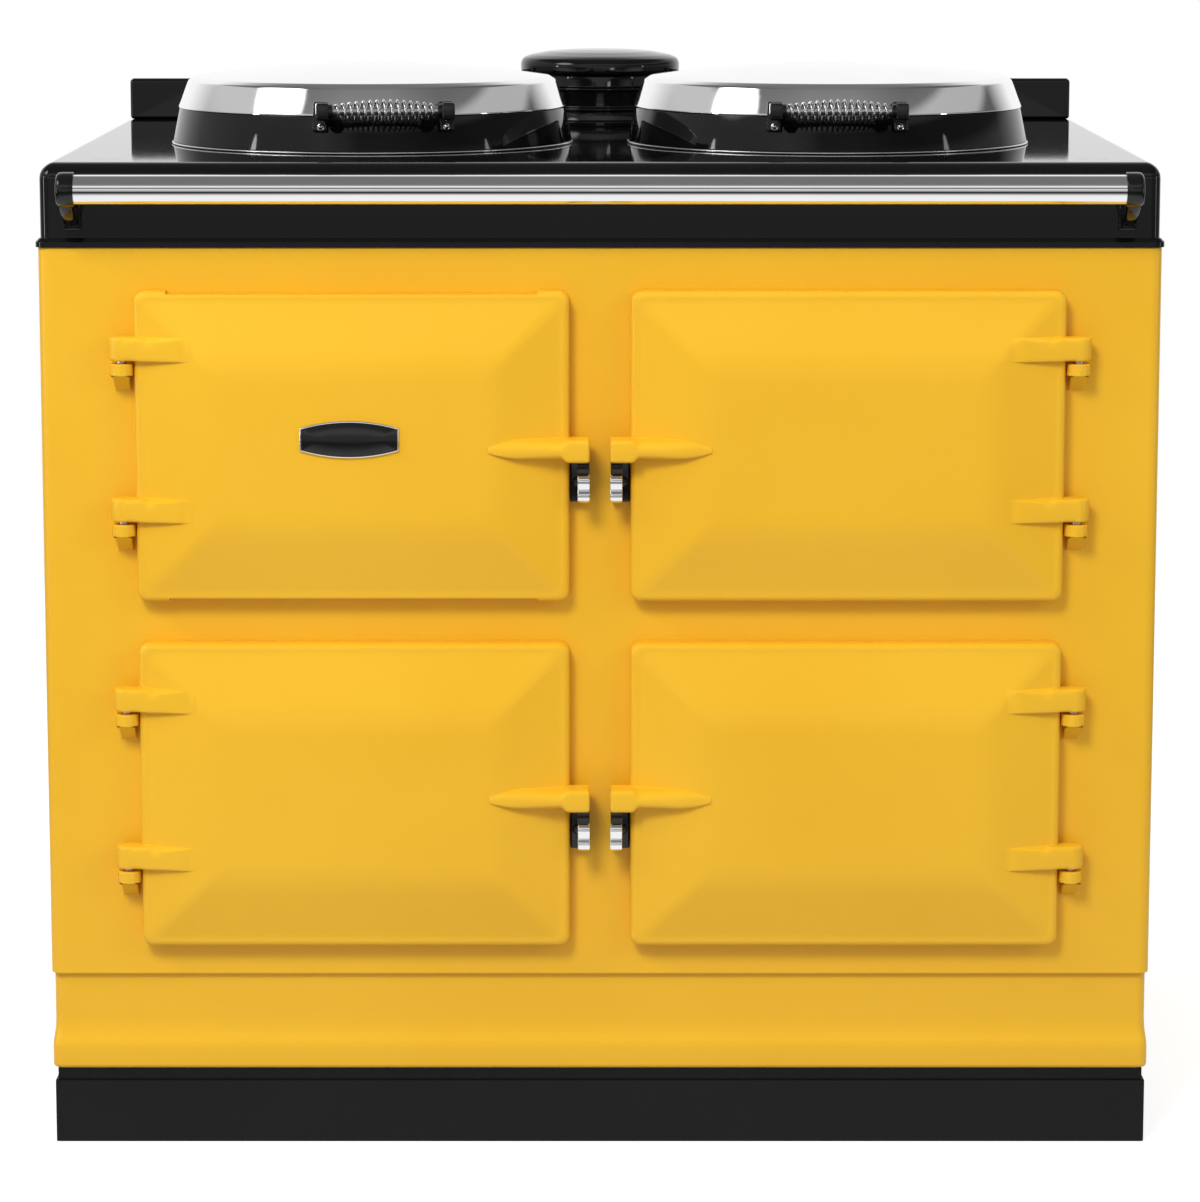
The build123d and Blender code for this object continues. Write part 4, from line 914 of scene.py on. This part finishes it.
def bevel_depth(inset):
    """How far the door's outer surface stands in front of the casting, at an inset from its edge."""
    if inset <= 0:
        return DOOR_BACK
    if inset < RIM_ROUND:
        return RIM_FRONT - RIM_ROUND + math.sqrt(RIM_ROUND**2 - (RIM_ROUND - inset) ** 2)
    if inset < SHELF:
        return RIM_FRONT
    slope = (FIELD_FRONT - RIM_FRONT) / (BEVEL_IN - SHELF)
    start, end = BEVEL_IN - FIELD_SOFT, BEVEL_IN + FIELD_SOFT
    if inset <= start:
        return RIM_FRONT + slope * (inset - SHELF)
    if inset >= end:
        return FIELD_FRONT
    share = (inset - start) / (end - start)
    return RIM_FRONT + slope * (start - SHELF) + slope * FIELD_SOFT * (2 * share - share**2)


def door_point(door, along, depth, height):
    """A place on a door: along runs towards its latch, depth out from the casting."""
    centre = DOOR_MIDDLE[door]
    return Vector((centre.x + HAND[door] * along, FACE_Y - depth, centre.z + height))


print("field stands", bevel_depth(0.1) * 1000, "mm out")


# %% Door slab
def door_rings():
    """Inset and depth of each ring, from the hollow back round to the field."""
    floor_out, wall_out = FIELD_FRONT - DOOR_WALL, RIM_FRONT - DOOR_WALL
    inside = [(0.082, floor_out), (0.072, floor_out), (0.014, wall_out), (DOOR_WALL, wall_out - 0.001)]
    inside += [(DOOR_WALL, DOOR_BACK), (0.001, DOOR_BACK), (0.0, DOOR_BACK + 0.001)]
    rim = [(RIM_ROUND * (1 - math.cos(t)), RIM_FRONT - RIM_ROUND * (1 - math.sin(t))) for t in quarter_turn(8)]
    soft = spaced(BEVEL_IN - FIELD_SOFT, BEVEL_IN + FIELD_SOFT, 8)
    climb = [SHELF + 0.001, SHELF + 0.004, 0.024, 0.040, *soft]
    outside = [(SHELF - 0.001, RIM_FRONT)] + [(inset, bevel_depth(inset)) for inset in climb]
    return inside + rim + outside + [(0.084, FIELD_FRONT), (0.090, FIELD_FRONT)]


def door_slab(door):
    """The hollow slab, grown from a rounded rectangle; left in object mode."""
    deselect()
    x, _, z = DOOR_MIDDLE[door]
    bpy.ops.mesh.primitive_plane_add(size=1.0, location=(x, FACE_Y, z), rotation=(math.pi / 2, 0, 0))
    slab = bpy.context.object
    slab.scale = (2 * HALF_W, 2 * HALF_H, 1)
    settle()
    edit(slab)
    select_everything()
    bpy.ops.mesh.bevel(offset=CORNER_R, offset_type="OFFSET", segments=8, affect="VERTICES", profile=0.5)
    select_everything()
    (inset, depth), *others = door_rings()
    width, height = HALF_W - inset, HALF_H - inset
    bpy.ops.transform.translate(value=(0, -depth, 0))
    stretch = (width / HALF_W, 1, height / HALF_H)
    bpy.ops.transform.resize(value=stretch, center_override=(x, FACE_Y - depth, z))
    for inset, out in others:
        stretch = ((HALF_W - inset) / width, 1, (HALF_H - inset) / height)
        grow((0, depth - out, 0), stretch, (x, FACE_Y - out, z))
        width, height, depth = HALF_W - inset, HALF_H - inset, out
    edit_done()
    return slab


# %% [markdown]
# ### Lofted straps and arms
# A loft joins a row of cross-sections. Each section is an arch: two feet that spread on the
# bevel, two flanks and a soft crest. `arch` gives its points, and `loft` sets the sections in a
# row along the door and closes both ends.

# %% Lofting helpers
ARCH_STEPS = 20


def squared(value, power):
    """Bends a sine or cosine, so that a circle becomes a rounded square."""
    return math.copysign(abs(value) ** power, value)


def arch(low, high, base, crest, flare, power, lean=0.0):
    """Height and depth points of a section: low and high are its flanks, crest its top."""
    centre, half, top = (low + high) / 2, (high - low) / 2, crest - base - flare
    foot = [(low - flare, base - 0.0012), (low - flare * 0.45, base + flare * 0.12)]
    foot.append((low - flare * 0.12, base + flare * 0.5))
    arc = []
    for turn in spaced(0.0, math.pi, ARCH_STEPS):
        rise = math.sin(turn) ** (2 / power)
        flank = half * squared(-math.cos(turn), 2 / power)
        arc.append((centre + flank + lean * rise, base + flare + top * rise))
    return foot + arc + [(2 * centre - z, d) for z, d in reversed(foot)]


def as_object(shape, name):
    mesh = bpy.data.meshes.new(name)
    shape.to_mesh(mesh)
    shape.free()
    return add_object(name, mesh)


def tube(rows):
    """Joins rows of points, each once round a section, into a form with closed ends."""
    shape = bmesh.new()
    rings = [[shape.verts.new(point) for point in row] for row in rows]
    for before, after in zip(rings, rings[1:]):
        for a, b, c, d in zip(before, before[1:], after[1:], after):
            shape.faces.new((a, b, c, d))
        shape.faces.new((before[-1], before[0], after[0], after[-1]))
    shape.faces.new(rings[0])
    shape.faces.new(reversed(rings[-1]))
    bmesh.ops.recalc_face_normals(shape, faces=shape.faces)
    return as_object(shape, "tube")


def loft(door, sections):
    """Joins sections, given as a place along the door and its points."""
    return tube([[door_point(door, along, d, z) for z, d in points] for along, points in sections])


def rounded_block(low, high, round_by, steps=4):
    """A block between two corners with every edge rounded."""
    low, high = Vector(map(min, low, high)), Vector(map(max, low, high))
    piece = box_at((low + high) / 2, high - low)
    edit(piece)
    select_everything()
    bpy.ops.mesh.bevel(offset=round_by, segments=steps, affect="EDGES", profile=0.5)
    edit_done()
    return piece


def door_block(door, along, depth, height, round_by, steps=4):
    """A rounded block on a door, from pairs of places along it, depths and heights."""
    near, far = (door_point(door, *corner) for corner in zip(along, depth, height))
    return rounded_block(near, far, round_by, steps)


# %% Latch arm
ARM_TIP = HALF_W + 0.018
ARM_POINT = HALF_W - 0.071
ARM_WAIST = HALF_W - 0.038
ARM_HALF = 0.0080
POINT_HALF = 0.0022
POINT_TOP = FIELD_FRONT + 0.0012
BLOCK_START = HALF_W - 0.007
BLOCK_GROWTH = 0.006
BLOCK_TOP = 0.0088
BLOCK_POWER = 7.6
LEAF_POWER = 2.6
ARM_TOP = 0.0404
ARM_DROP = 0.012
ARM_BACK = 0.016
ARM_LEAN = -0.0016
ARM_ROWS = 26
BLOCK_ROWS = 10
BLOCK_ROUND = 0.0024
SUNK = 0.0006
FLARE = 0.0030
NO_FLARE = 0.0001


def latch_arm(door):
    """The leaf, which runs on into the square end block; its last rows round the end."""
    rows = spaced(ARM_POINT, BLOCK_START, ARM_ROWS)
    rows += spaced(BLOCK_START, ARM_TIP - BLOCK_ROUND, BLOCK_ROWS)[1:]
    sections = []
    for along in rows:
        base = max(bevel_depth(HALF_W - along) - SUNK, ARM_BACK)
        share = min((along - ARM_POINT) / (ARM_WAIST - ARM_POINT), 1.0)
        half = POINT_HALF + (ARM_HALF - POINT_HALF) * math.sin(share * math.pi / 2) ** 0.8
        crest = POINT_TOP + (ARM_TOP - POINT_TOP) * smooth_step(share * 1.2)
        block = smooth_step((along - BLOCK_START) / BLOCK_GROWTH)
        flare = min(FLARE, (crest - base) * 0.3) * (1 - block) + NO_FLARE
        low, high = -half - (ARM_DROP - half) * block, half + (BLOCK_TOP - half) * block
        power = LEAF_POWER + (BLOCK_POWER - LEAF_POWER) * block
        sections.append((along, arch(low, high, base, crest, flare, power, ARM_LEAN * (1 - block))))
    for turn in quarter_turn(5)[1:]:
        inset = BLOCK_ROUND * (1 - math.cos(turn))
        along = ARM_TIP - BLOCK_ROUND * (1 - math.sin(turn))
        low, high, crest = inset - ARM_DROP, BLOCK_TOP - inset, ARM_TOP - inset
        sections.append((along, arch(low, high, ARM_BACK + inset, crest, NO_FLARE, BLOCK_POWER)))
    return loft(door, sections)


# %% [markdown]
# A hinge strap runs from its lug up the bevel and ends flush with it. Its upper flank slopes back
# towards the bevel, and near the top and bottom of the door it sinks with the bevel there.

# %% Hinge straps
HINGE_ALONG = -(HALF_W + 0.0113)
HINGE_OUT = 0.016
LUG_R_DOOR = 0.011
LUG_HIGH = 0.021
LUG_SOFT = 0.0028
UPPER_LUG = HALF_H - 0.0505
LOWER_LUG = -HALF_H + 0.082
STRAP_END = HINGE_ALONG + 0.062
STRAP_TAPER = 0.012
STRAP_THIN = 0.0008
STRAP_RISE = bevel_depth(0.0387) + 0.003
STRAP_POWER = 6.0
STRAP_ROWS = 24
LEDGE_FOOT = 0.0016
LEDGE_SLOPE = 1.5
LEDGE_FULL = 0.02
LEDGE_START = 0.012


def hinge_strap(door, height):
    """A strap and its lug, as two closed forms."""
    low, high = height - LUG_HIGH / 2, height + LUG_HIGH / 2
    lug_front = HINGE_OUT + LUG_R_DOOR
    sections = []
    for along in spaced(HINGE_ALONG, STRAP_END, STRAP_ROWS):
        inset = HALF_W + along
        base = max(bevel_depth(inset), HINGE_OUT - 0.002) - SUNK
        share = min((along - HINGE_ALONG) / (STRAP_END - STRAP_TAPER - HINGE_ALONG), 1.0)
        line = lug_front + (STRAP_RISE - lug_front) * share
        thin = base + STRAP_THIN
        crest = thin + (max(line, thin) - thin) * smooth_step((STRAP_END - along) / STRAP_TAPER)
        flare = min(FLARE, (crest - base) * 0.35) if inset > 0.004 else 0.0002
        ledge = base + LEDGE_FOOT + LEDGE_FULL * (1 - smooth_step(inset / LEDGE_START))
        section = []
        for z, out in arch(low, high, base, crest, flare, STRAP_POWER):
            sink = bevel_depth(inset) - bevel_depth(min(inset, HALF_H - abs(z))) if inset > 0 else 0
            section.append((z, min(out, ledge + (high - z) * LEDGE_SLOPE) - sink))
        sections.append((along, section))
    lug = cylinder_at(door_point(door, HINGE_ALONG, HINGE_OUT, height), LUG_R_DOOR, LUG_HIGH)
    edit(lug)
    select_faces(lug, lambda face: abs(face.normal.z) > 0.9)
    bpy.ops.mesh.bevel(offset=LUG_SOFT, segments=5, affect="EDGES")
    edit_done()
    return [loft(door, sections), lug]


# %% Whole doors
NOTCH = 0.003
NOTCH_END = HALF_W - 0.028


def whole_door(door):
    slab = door_slab(door)
    if door == "control":
        for edge in (-1, 1):
            height = (edge * (HALF_H - NOTCH), edge * (HALF_H + 0.004))
            notch = door_block(door, (-NOTCH_END, NOTCH_END), (-0.001, 0.05), height, 0.001, 2)
            boolean(slab, notch, "DIFFERENCE")
    straps = hinge_strap(door, UPPER_LUG) + hinge_strap(door, LOWER_LUG)
    casting = join([slab, latch_arm(door), *straps])
    leave(casting, f"{door}_door_cast", "yellow_enamel", f"{door}_door", 38.0, f"{door}_door")


for door in DOORS:
    whole_door(door)

# %% [markdown]
# ## Latch levers and catches
# Under the end of each arm hangs a finger lever. Its neck is black and its pad is a chromed
# casting with a groove for the fingertip. Behind it a black catch block is bolted to the casting.
# The levers are outlines with thickness: `slab` fills an outline seen from the side, gives it
# width and rounds its edges with a Bevel. A catch is two rounded blocks.

# %% Levers
PAD_WIDTH = 0.0106
LEVER_EDGE = 0.0006
NECK_SIDE = [(0.0235, -0.0050), (0.0305, -0.0050), (0.0325, -0.0120), (0.0318, -0.0150), (0.0338, -0.0175)]
NECK_SIDE += [(0.0322, -0.0200), (0.0326, -0.0236), (0.0245, -0.0236)]
PAD_SIDE = [(0.0245, -0.0228), (0.0332, -0.0228), (0.0352, -0.0244), (0.0362, -0.0272), (0.0362, -0.0302)]
PAD_SIDE += [(0.0352, -0.0330), (0.0338, -0.0346), (0.0334, -0.0360), (0.0340, -0.0374), (0.0354, -0.0392)]
PAD_SIDE += [(0.0358, -0.0414), (0.0352, -0.0440), (0.0334, -0.0462), (0.0308, -0.0474), (0.0270, -0.0475)]
PAD_SIDE += [(0.0240, -0.0420), (0.0222, -0.0360), (0.0222, -0.0290)]
PIVOT_ALONG = (ARM_TIP - 0.0122, ARM_TIP - 0.0006)
CATCH_ALONG, NOSE_ALONG = (ARM_TIP - 0.0174, ARM_TIP - 0.0004), (ARM_TIP - 0.0158, ARM_TIP - 0.0004)
CATCH_DEPTH, CATCH_HEIGHT = (0, 0.0122), (-0.0126, -0.0495)
NOSE_R = 0.0048
NOSE_DEPTH, NOSE_HEIGHT = (0.0126 - NOSE_R, 0.0126 + NOSE_R), (-0.0315 - NOSE_R, -0.0315 + NOSE_R)


def slab(door, outline, start, end):
    """A side outline given width along the door, its rim rounded."""
    piece = tube([[door_point(door, along, d, z) for d, z in outline] for along in (start, end)])
    rim = piece.modifiers.new("rim", "BEVEL")
    rim.width = LEVER_EDGE
    rim.segments = 3
    rim.limit_method = "ANGLE"
    rim.angle_limit = math.radians(50)
    apply_modifiers(piece)
    return piece


def lever(door):
    pivot = door_block(door, PIVOT_ALONG, (0.0252, 0.0288), (-0.0078, -0.0042), 0.0012)
    neck = join([slab(door, NECK_SIDE, ARM_TIP - PAD_WIDTH - 0.0004, ARM_TIP - 0.0008), pivot])
    leave(neck, f"{door}_lever_neck", "black_iron", f"{door}_latch", 40.0, f"{door}_latch_lever")
    pad = slab(door, PAD_SIDE, ARM_TIP - PAD_WIDTH, ARM_TIP)
    leave(pad, f"{door}_lever_pad", "bright_chrome", f"{door}_latch", 40.0, f"{door}_latch_lever")


def catch(door):
    block = door_block(door, CATCH_ALONG, CATCH_DEPTH, CATCH_HEIGHT, 0.0018)
    return [block, door_block(door, NOSE_ALONG, NOSE_DEPTH, NOSE_HEIGHT, NOSE_R * 0.98, 6)]


for door in DOORS:
    lever(door)
blocks = [part for door in DOORS for part in catch(door)]
leave(join(blocks), "latch_catches_cast", "black_iron", "cooker", 40.0, "door_catches")

# %% [markdown]
# ## Blank badge
# The oval badge is a bright rim round a glossy black face. The plate is left blank. The face is a
# little domed, as poured enamel is, so it shows a soft sheen towards the light. Both start as the
# oval outline and grow inwards ring by ring.

# %% Badge
BADGE = middle("blank_badge")
BADGE_HALF, BADGE_END, BADGE_RISE = 0.0435, 0.0100, 0.0165
BADGE_ARC = 28
BADGE_START = FIELD_FRONT - 0.0004
BADGE_OUT = FIELD_FRONT + 0.003
BADGE_RIM = [(0.0, -0.0008), (0.0004, -0.0002), (0.0009, 0.0), (0.0014, -0.0003), (0.0016, -0.0026)]
RIM_WIDTH = 0.0014
FACE_WIDTH = 0.0145
FACE_DOME = 0.0016
FACE_STEPS = 9


def oval():
    """Bowed top and bottom between two short straight ends, as x and z pairs."""
    lift = BADGE_RISE - BADGE_END
    reach = (BADGE_HALF**2 + lift**2) / (2 * lift)
    sweep = math.asin(BADGE_HALF / reach)
    arc = spaced(sweep, -sweep, BADGE_ARC)
    top = [(reach * math.sin(turn), BADGE_RISE - reach + reach * math.cos(turn)) for turn in arc]
    return top + [(-x, -z) for x, z in top]


def oval_plate(steps):
    """Grows a plate from the oval; each step is an inset and a depth, and the last face closes it."""
    shape = bmesh.new()
    shape.faces.new([shape.verts.new((BADGE.x + x, FACE_Y - BADGE_START, BADGE.z + z)) for x, z in oval()])
    piece = as_object(shape, "oval")
    edit(piece)
    select_everything()
    width, height, depth = BADGE_HALF, BADGE_RISE, BADGE_START
    for inset, out in steps:
        stretch = ((BADGE_HALF - inset) / width, 1, (BADGE_RISE - inset) / height)
        grow((0, depth - out, 0), stretch, (BADGE.x, FACE_Y - out, BADGE.z))
        width, height, depth = BADGE_HALF - inset, BADGE_RISE - inset, out
    return piece


def badge_face():
    """Inset and depth of the domed face, from its foot to the middle."""
    yield (RIM_WIDTH, FIELD_FRONT)
    yield (RIM_WIDTH, BADGE_OUT - 0.0020)
    for share in spaced(0, 1, FACE_STEPS)[:-1]:
        yield (RIM_WIDTH + FACE_WIDTH * share, BADGE_OUT - 0.0014 + FACE_DOME * (1 - (1 - share) ** 2))


rim = oval_plate([(inset, BADGE_OUT + lift) for inset, lift in BADGE_RIM])
leave(rim, "badge_rim", "bright_chrome", "control_door", 35.0, "blank_badge")
leave(oval_plate(badge_face()), "badge_face", "badge_black", "control_door", 35.0, "blank_badge")

# %% [markdown]
# ## Handle brackets
# Each grip is carried by two black cast brackets: a square head, a dark collar that the coil butts
# against, a stalk back to the lid and a foot on its skirt, held by a bright domed nut. They are
# built round the middle of the grip, then turned and moved to where the rod is.

# %% Handle brackets
HEAD_IN, HEAD_OUT = 0.0505, 0.0622
HEAD_HIGH, HEAD_DEEP = 0.0078, 0.0082
STALK_WIDE = 0.0046
GRIP_R = 0.208
STALK_LONG = GRIP_R - 0.1665
FOOT_SPREAD = 0.0565
FOOT_PLACE = 0.1732
FOOT_HALF = 0.0066
FOOT_TILT = -0.19
NUT_R = 0.0025
NUT_DROP = 0.0155
COLLAR = [(0, -0.0022), (0.0058, -0.0022), (0.0066, -0.0014), (0.0066, 0.0014), (0.0058, 0.0022), (0, 0.0022)]
NUT = [(0, 0), (NUT_R * 1.25, 0), (NUT_R * 1.25, 0.0008), (NUT_R, 0.0010), (NUT_R * 0.96, 0.0022)]
NUT += [(NUT_R * 0.7, 0.0034), (NUT_R * 0.35, 0.0040), (0, 0.0042)]


def moved(x, y, z, *turns):
    """The matrix that makes each turn, last one first, and then moves to x, y, z."""
    matrix = Matrix.Translation((x, y, z))
    for angle, axis in turns:
        matrix = matrix @ Matrix.Rotation(angle, 4, axis)
    return matrix


def end_bracket(hand):
    """Head, stalk, collar and foot at one end of a grip, and its nut; y runs back to the lid."""
    mid = hand * (HEAD_IN + HEAD_OUT) / 2
    near, far = (hand * HEAD_IN, -HEAD_DEEP, -HEAD_HIGH), (hand * HEAD_OUT, HEAD_DEEP, HEAD_HIGH)
    head = rounded_block(near, far, 0.0022)
    far = (mid + STALK_WIDE, STALK_LONG, HEAD_HIGH - 0.002)
    stalk = rounded_block((mid - STALK_WIDE, 0, -HEAD_HIGH + 0.001), far, 0.0020)
    collar = turned_part(COLLAR, 32, moved(hand * (HEAD_IN - 0.0012), 0, 0, (math.pi / 2, "Y")))
    foot = rounded_block((-FOOT_HALF, -0.0022, -0.0200), (FOOT_HALF, 0.0030, HEAD_HIGH - 0.001), 0.0014)
    turns = ((hand * math.atan2(FOOT_SPREAD, FOOT_PLACE), "Z"), (FOOT_TILT, "X"))
    back = GRIP_R - FOOT_PLACE
    foot.data.transform(moved(hand * FOOT_SPREAD, back - 0.0012, 0, *turns))
    upright = moved(0, 0, 0, (math.pi / 2, "X"))
    nut = turned_part(NUT, 24, upright, moved(hand * FOOT_SPREAD, back - 0.0070, -NUT_DROP, *turns))
    return [head, stalk, collar, foot], nut


for side in LIDS:
    iron, nuts = [], []
    for hand in (-1, 1):
        solids, nut = end_bracket(hand)
        iron += solids
        nuts.append(nut)
    brackets, nuts = join(iron), join(nuts)
    for piece in (brackets, nuts):
        piece.data.transform(moved(*grip_middle(side), (GRIP_TURN[side], "Z")))
    leave(brackets, f"{side}_grip_brackets", "black_iron", f"{side}_lid", 40.0, f"{side}_handle_brackets")
    leave(nuts, f"{side}_grip_nuts", "bright_chrome", f"{side}_lid", 45.0)

# %% [markdown]
# ## Hotplates
# Under each lid is a thick iron plate, machined flat. The lathe leaves a few shallow rings and a
# rounded rim, so the plates are turned too.

# %% Hotplates
GROOVES = (0.126, 0.094, 0.062, 0.030)
GROOVE = [(0.0014, 0.0), (0.0006, -0.0007), (-0.0006, -0.0007), (-0.0014, 0.0)]


def hotplate(node):
    low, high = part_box(node)
    radius = (high.x - low.x) / 2
    profile = [(0.0, low.z), (radius - 0.003, low.z), (radius, low.z + 0.003), (radius, high.z - 0.0022)]
    profile += [(radius - 0.0007, high.z - 0.0008), (radius - 0.0022, high.z)]
    profile += [(ring + out, high.z + lift) for ring in GROOVES for out, lift in GROOVE]
    plate = turned(middle(node), profile + [(0.0, high.z)])
    leave(plate, f"{node}_turned", "raw_iron", "cooker", 30.0, node)


for node in ("boiling_plate", "simmering_plate"):
    hotplate(node)

# %% [markdown]
# ## Control knobs
# Each knob is moulded: a skirted disc with a round edge, and a bar across it for the fingers.

# %% Knobs
KNOB_GRIP = 0.0148
KNOB_BAR = 0.0044
KNOB_BASE = 0.52


def knob(node):
    radius, deep, centre = size(node).x / 2, size(node).y, middle(node)
    base = deep * KNOB_BASE
    profile = [(0, 0), (radius, 0), (radius, 0.0012), (radius * 0.97, base - 0.0030)]
    profile += [(radius * 0.93, base - 0.0010), (radius * 0.84, base), (0, base)]
    disc = turned_part(profile, 64)
    bar = rounded_block((-KNOB_BAR, -KNOB_GRIP, base - 0.002), (KNOB_BAR, KNOB_GRIP, deep - 0.0002), 0.0018)
    moulded = join([disc, bar])
    moulded.data.transform(moved(centre.x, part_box(node)[1].y, centre.z, (math.pi / 2, "X")))
    leave(moulded, f"{node}_moulded", "knob_black", node, 35.0, node)


for node in ("boiling_knob", "simmering_knob", "oven_knob"):
    knob(node)

# %% [markdown]
# ## Handrail brackets
# The rail ends in two black cast brackets. Each is a cap turned over the rail's end, a curved arm
# that sweeps down and back to the front of the cooker, and a flat foot there. The arm is lofted
# along its curve.

# %% Rail brackets
RAIL = middle("handrail")
RAIL_HALF = size("handrail").x / 2
BRACKET_LOW, BRACKET_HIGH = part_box("handrail_brackets")
CAP_WIDE = 0.016
CAP_IN = RAIL_HALF - 0.003
CUP_R = RAIL.y - BRACKET_LOW.y - 0.0002
PLATE_FRONT = BRACKET_HIGH.y
FOOT_LOW = BRACKET_LOW.z
FOOT_HIGH = 0.034
FOOT_WIDE = 0.0078
ARM_START = Vector((RAIL.y + 0.004, RAIL.z - 0.003))
ARM_BEND = Vector((RAIL.y + 0.012, FOOT_LOW + 0.012))
ARM_END = Vector((PLATE_FRONT - 0.002, FOOT_LOW + 0.014))
ARM_HALF_X = 0.0062
RAIL_ARM_ROWS = 14
RAIL_ARM_POWER = 0.6


def rail_cap(hand):
    profile = [(0, 0), (CUP_R - 0.0006, 0), (CUP_R, 0.0008), (CUP_R, CAP_WIDE - 0.0050)]
    profile += [(CUP_R * 0.97, CAP_WIDE - 0.0026), (CUP_R * 0.86, CAP_WIDE - 0.0009)]
    profile += [(CUP_R * 0.6, CAP_WIDE - 0.0002), (0, CAP_WIDE)]
    return turned_part(profile, 64, moved(hand * CAP_IN, RAIL.y, RAIL.z, (hand * math.pi / 2, "Y")))


def rail_arm(x):
    """Sections of the arm from the cap down to the foot."""
    rows = []
    for t in spaced(0, 1, RAIL_ARM_ROWS):
        centre = bow(ARM_START, ARM_BEND, ARM_END, t)
        way = ((ARM_BEND - ARM_START) * (1 - t) + (ARM_END - ARM_BEND) * t).normalized()
        spread = smooth_step((t - 0.7) / 0.3)
        half = 0.0088 - 0.0018 * math.sin(math.pi * t) + 0.0035 * spread
        wide = ARM_HALF_X + 0.0012 * spread
        ring = []
        for turn in spaced(0, 2 * math.pi, 20)[:-1]:
            u = squared(math.cos(turn), RAIL_ARM_POWER) * wide
            v = squared(math.sin(turn), RAIL_ARM_POWER) * half
            ring.append((x + u, centre.x - way.y * v, centre.y + way.x * v))
        rows.append(ring)
    return tube(rows)


iron = []
for hand in (-1, 1):
    x = hand * (CAP_IN + CAP_WIDE / 2)
    near = (x - FOOT_WIDE, PLATE_FRONT - 0.0045, FOOT_LOW)
    foot = rounded_block(near, (x + FOOT_WIDE, PLATE_FRONT, FOOT_LOW + FOOT_HIGH), 0.0020)
    iron += [rail_cap(hand), rail_arm(x), foot]
leave(join(iron), "rail_brackets_cast", "black_iron", "cooker", 40.0, "handrail_brackets")

# %% [markdown]
# ## Base moulding
# Round the foot of the cooker runs an enamelled moulding: a plain skirt set back under the
# casting, a hollow cove that swells outwards, and a roll with a rounded foot. It goes round three
# sides. Each point of the profile is carried along the plan of the cooker, and the form is a tube
# of those sections, from the back left corner to the back right.

# %% Moulding
MOULDING_LOW, MOULDING_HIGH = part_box("base_moulding")
MOULDING_TALL = MOULDING_HIGH.z - MOULDING_LOW.z
SKIRT_IN = 0.0060
SWELL = SKIRT_IN * 0.57
SIDE_SHARE = 0.36
PLAN_CORNER = 0.009
MOULDING_WALL = 0.0120
COVE_TOP, COVE_TURN, ROLL_TOP = 0.050, 0.0287, 0.019
ROLL_FOOT = 0.0045


def moulding_profile():
    """Inset from the roll's face, and height above the moulding's foot, from the top down."""
    for height in (MOULDING_TALL, MOULDING_TALL - 0.020, COVE_TOP):
        yield (SKIRT_IN, height)
    for share in spaced(0, 1, 8)[1:]:
        yield (SKIRT_IN - SWELL * share**2.6, COVE_TOP - (COVE_TOP - COVE_TURN) * share)
    for share in spaced(0, 1, 7)[1:]:
        yield ((SKIRT_IN - SWELL) * (1 - share) ** 1.6, COVE_TURN - (COVE_TURN - ROLL_TOP) * share)
    for turn in quarter_turn(6):
        yield (ROLL_FOOT * (1 - math.cos(turn)), ROLL_FOOT * (1 - math.sin(turn)))
    yield (MOULDING_WALL, 0.0)
    yield (MOULDING_WALL, MOULDING_TALL)


def plan_row(inset, height):
    """One point of the profile, carried round the plan."""
    x, y, z = -MOULDING_LOW.x - inset * SIDE_SHARE, MOULDING_LOW.y + inset, MOULDING_LOW.z + height
    right = [(x, MOULDING_HIGH.y)]
    for turn in quarter_turn(8):
        right.append((x - PLAN_CORNER * (1 - math.cos(turn)), y + PLAN_CORNER * (1 - math.sin(turn))))
    return [(-a, b, z) for a, b in right] + [(a, b, z) for a, b in reversed(right)]


moulding = tube(list(zip(*(plan_row(inset, height) for inset, height in moulding_profile()))))
leave(moulding, "base_moulding_run", "yellow_enamel", "cooker", 35.0, "base_moulding")
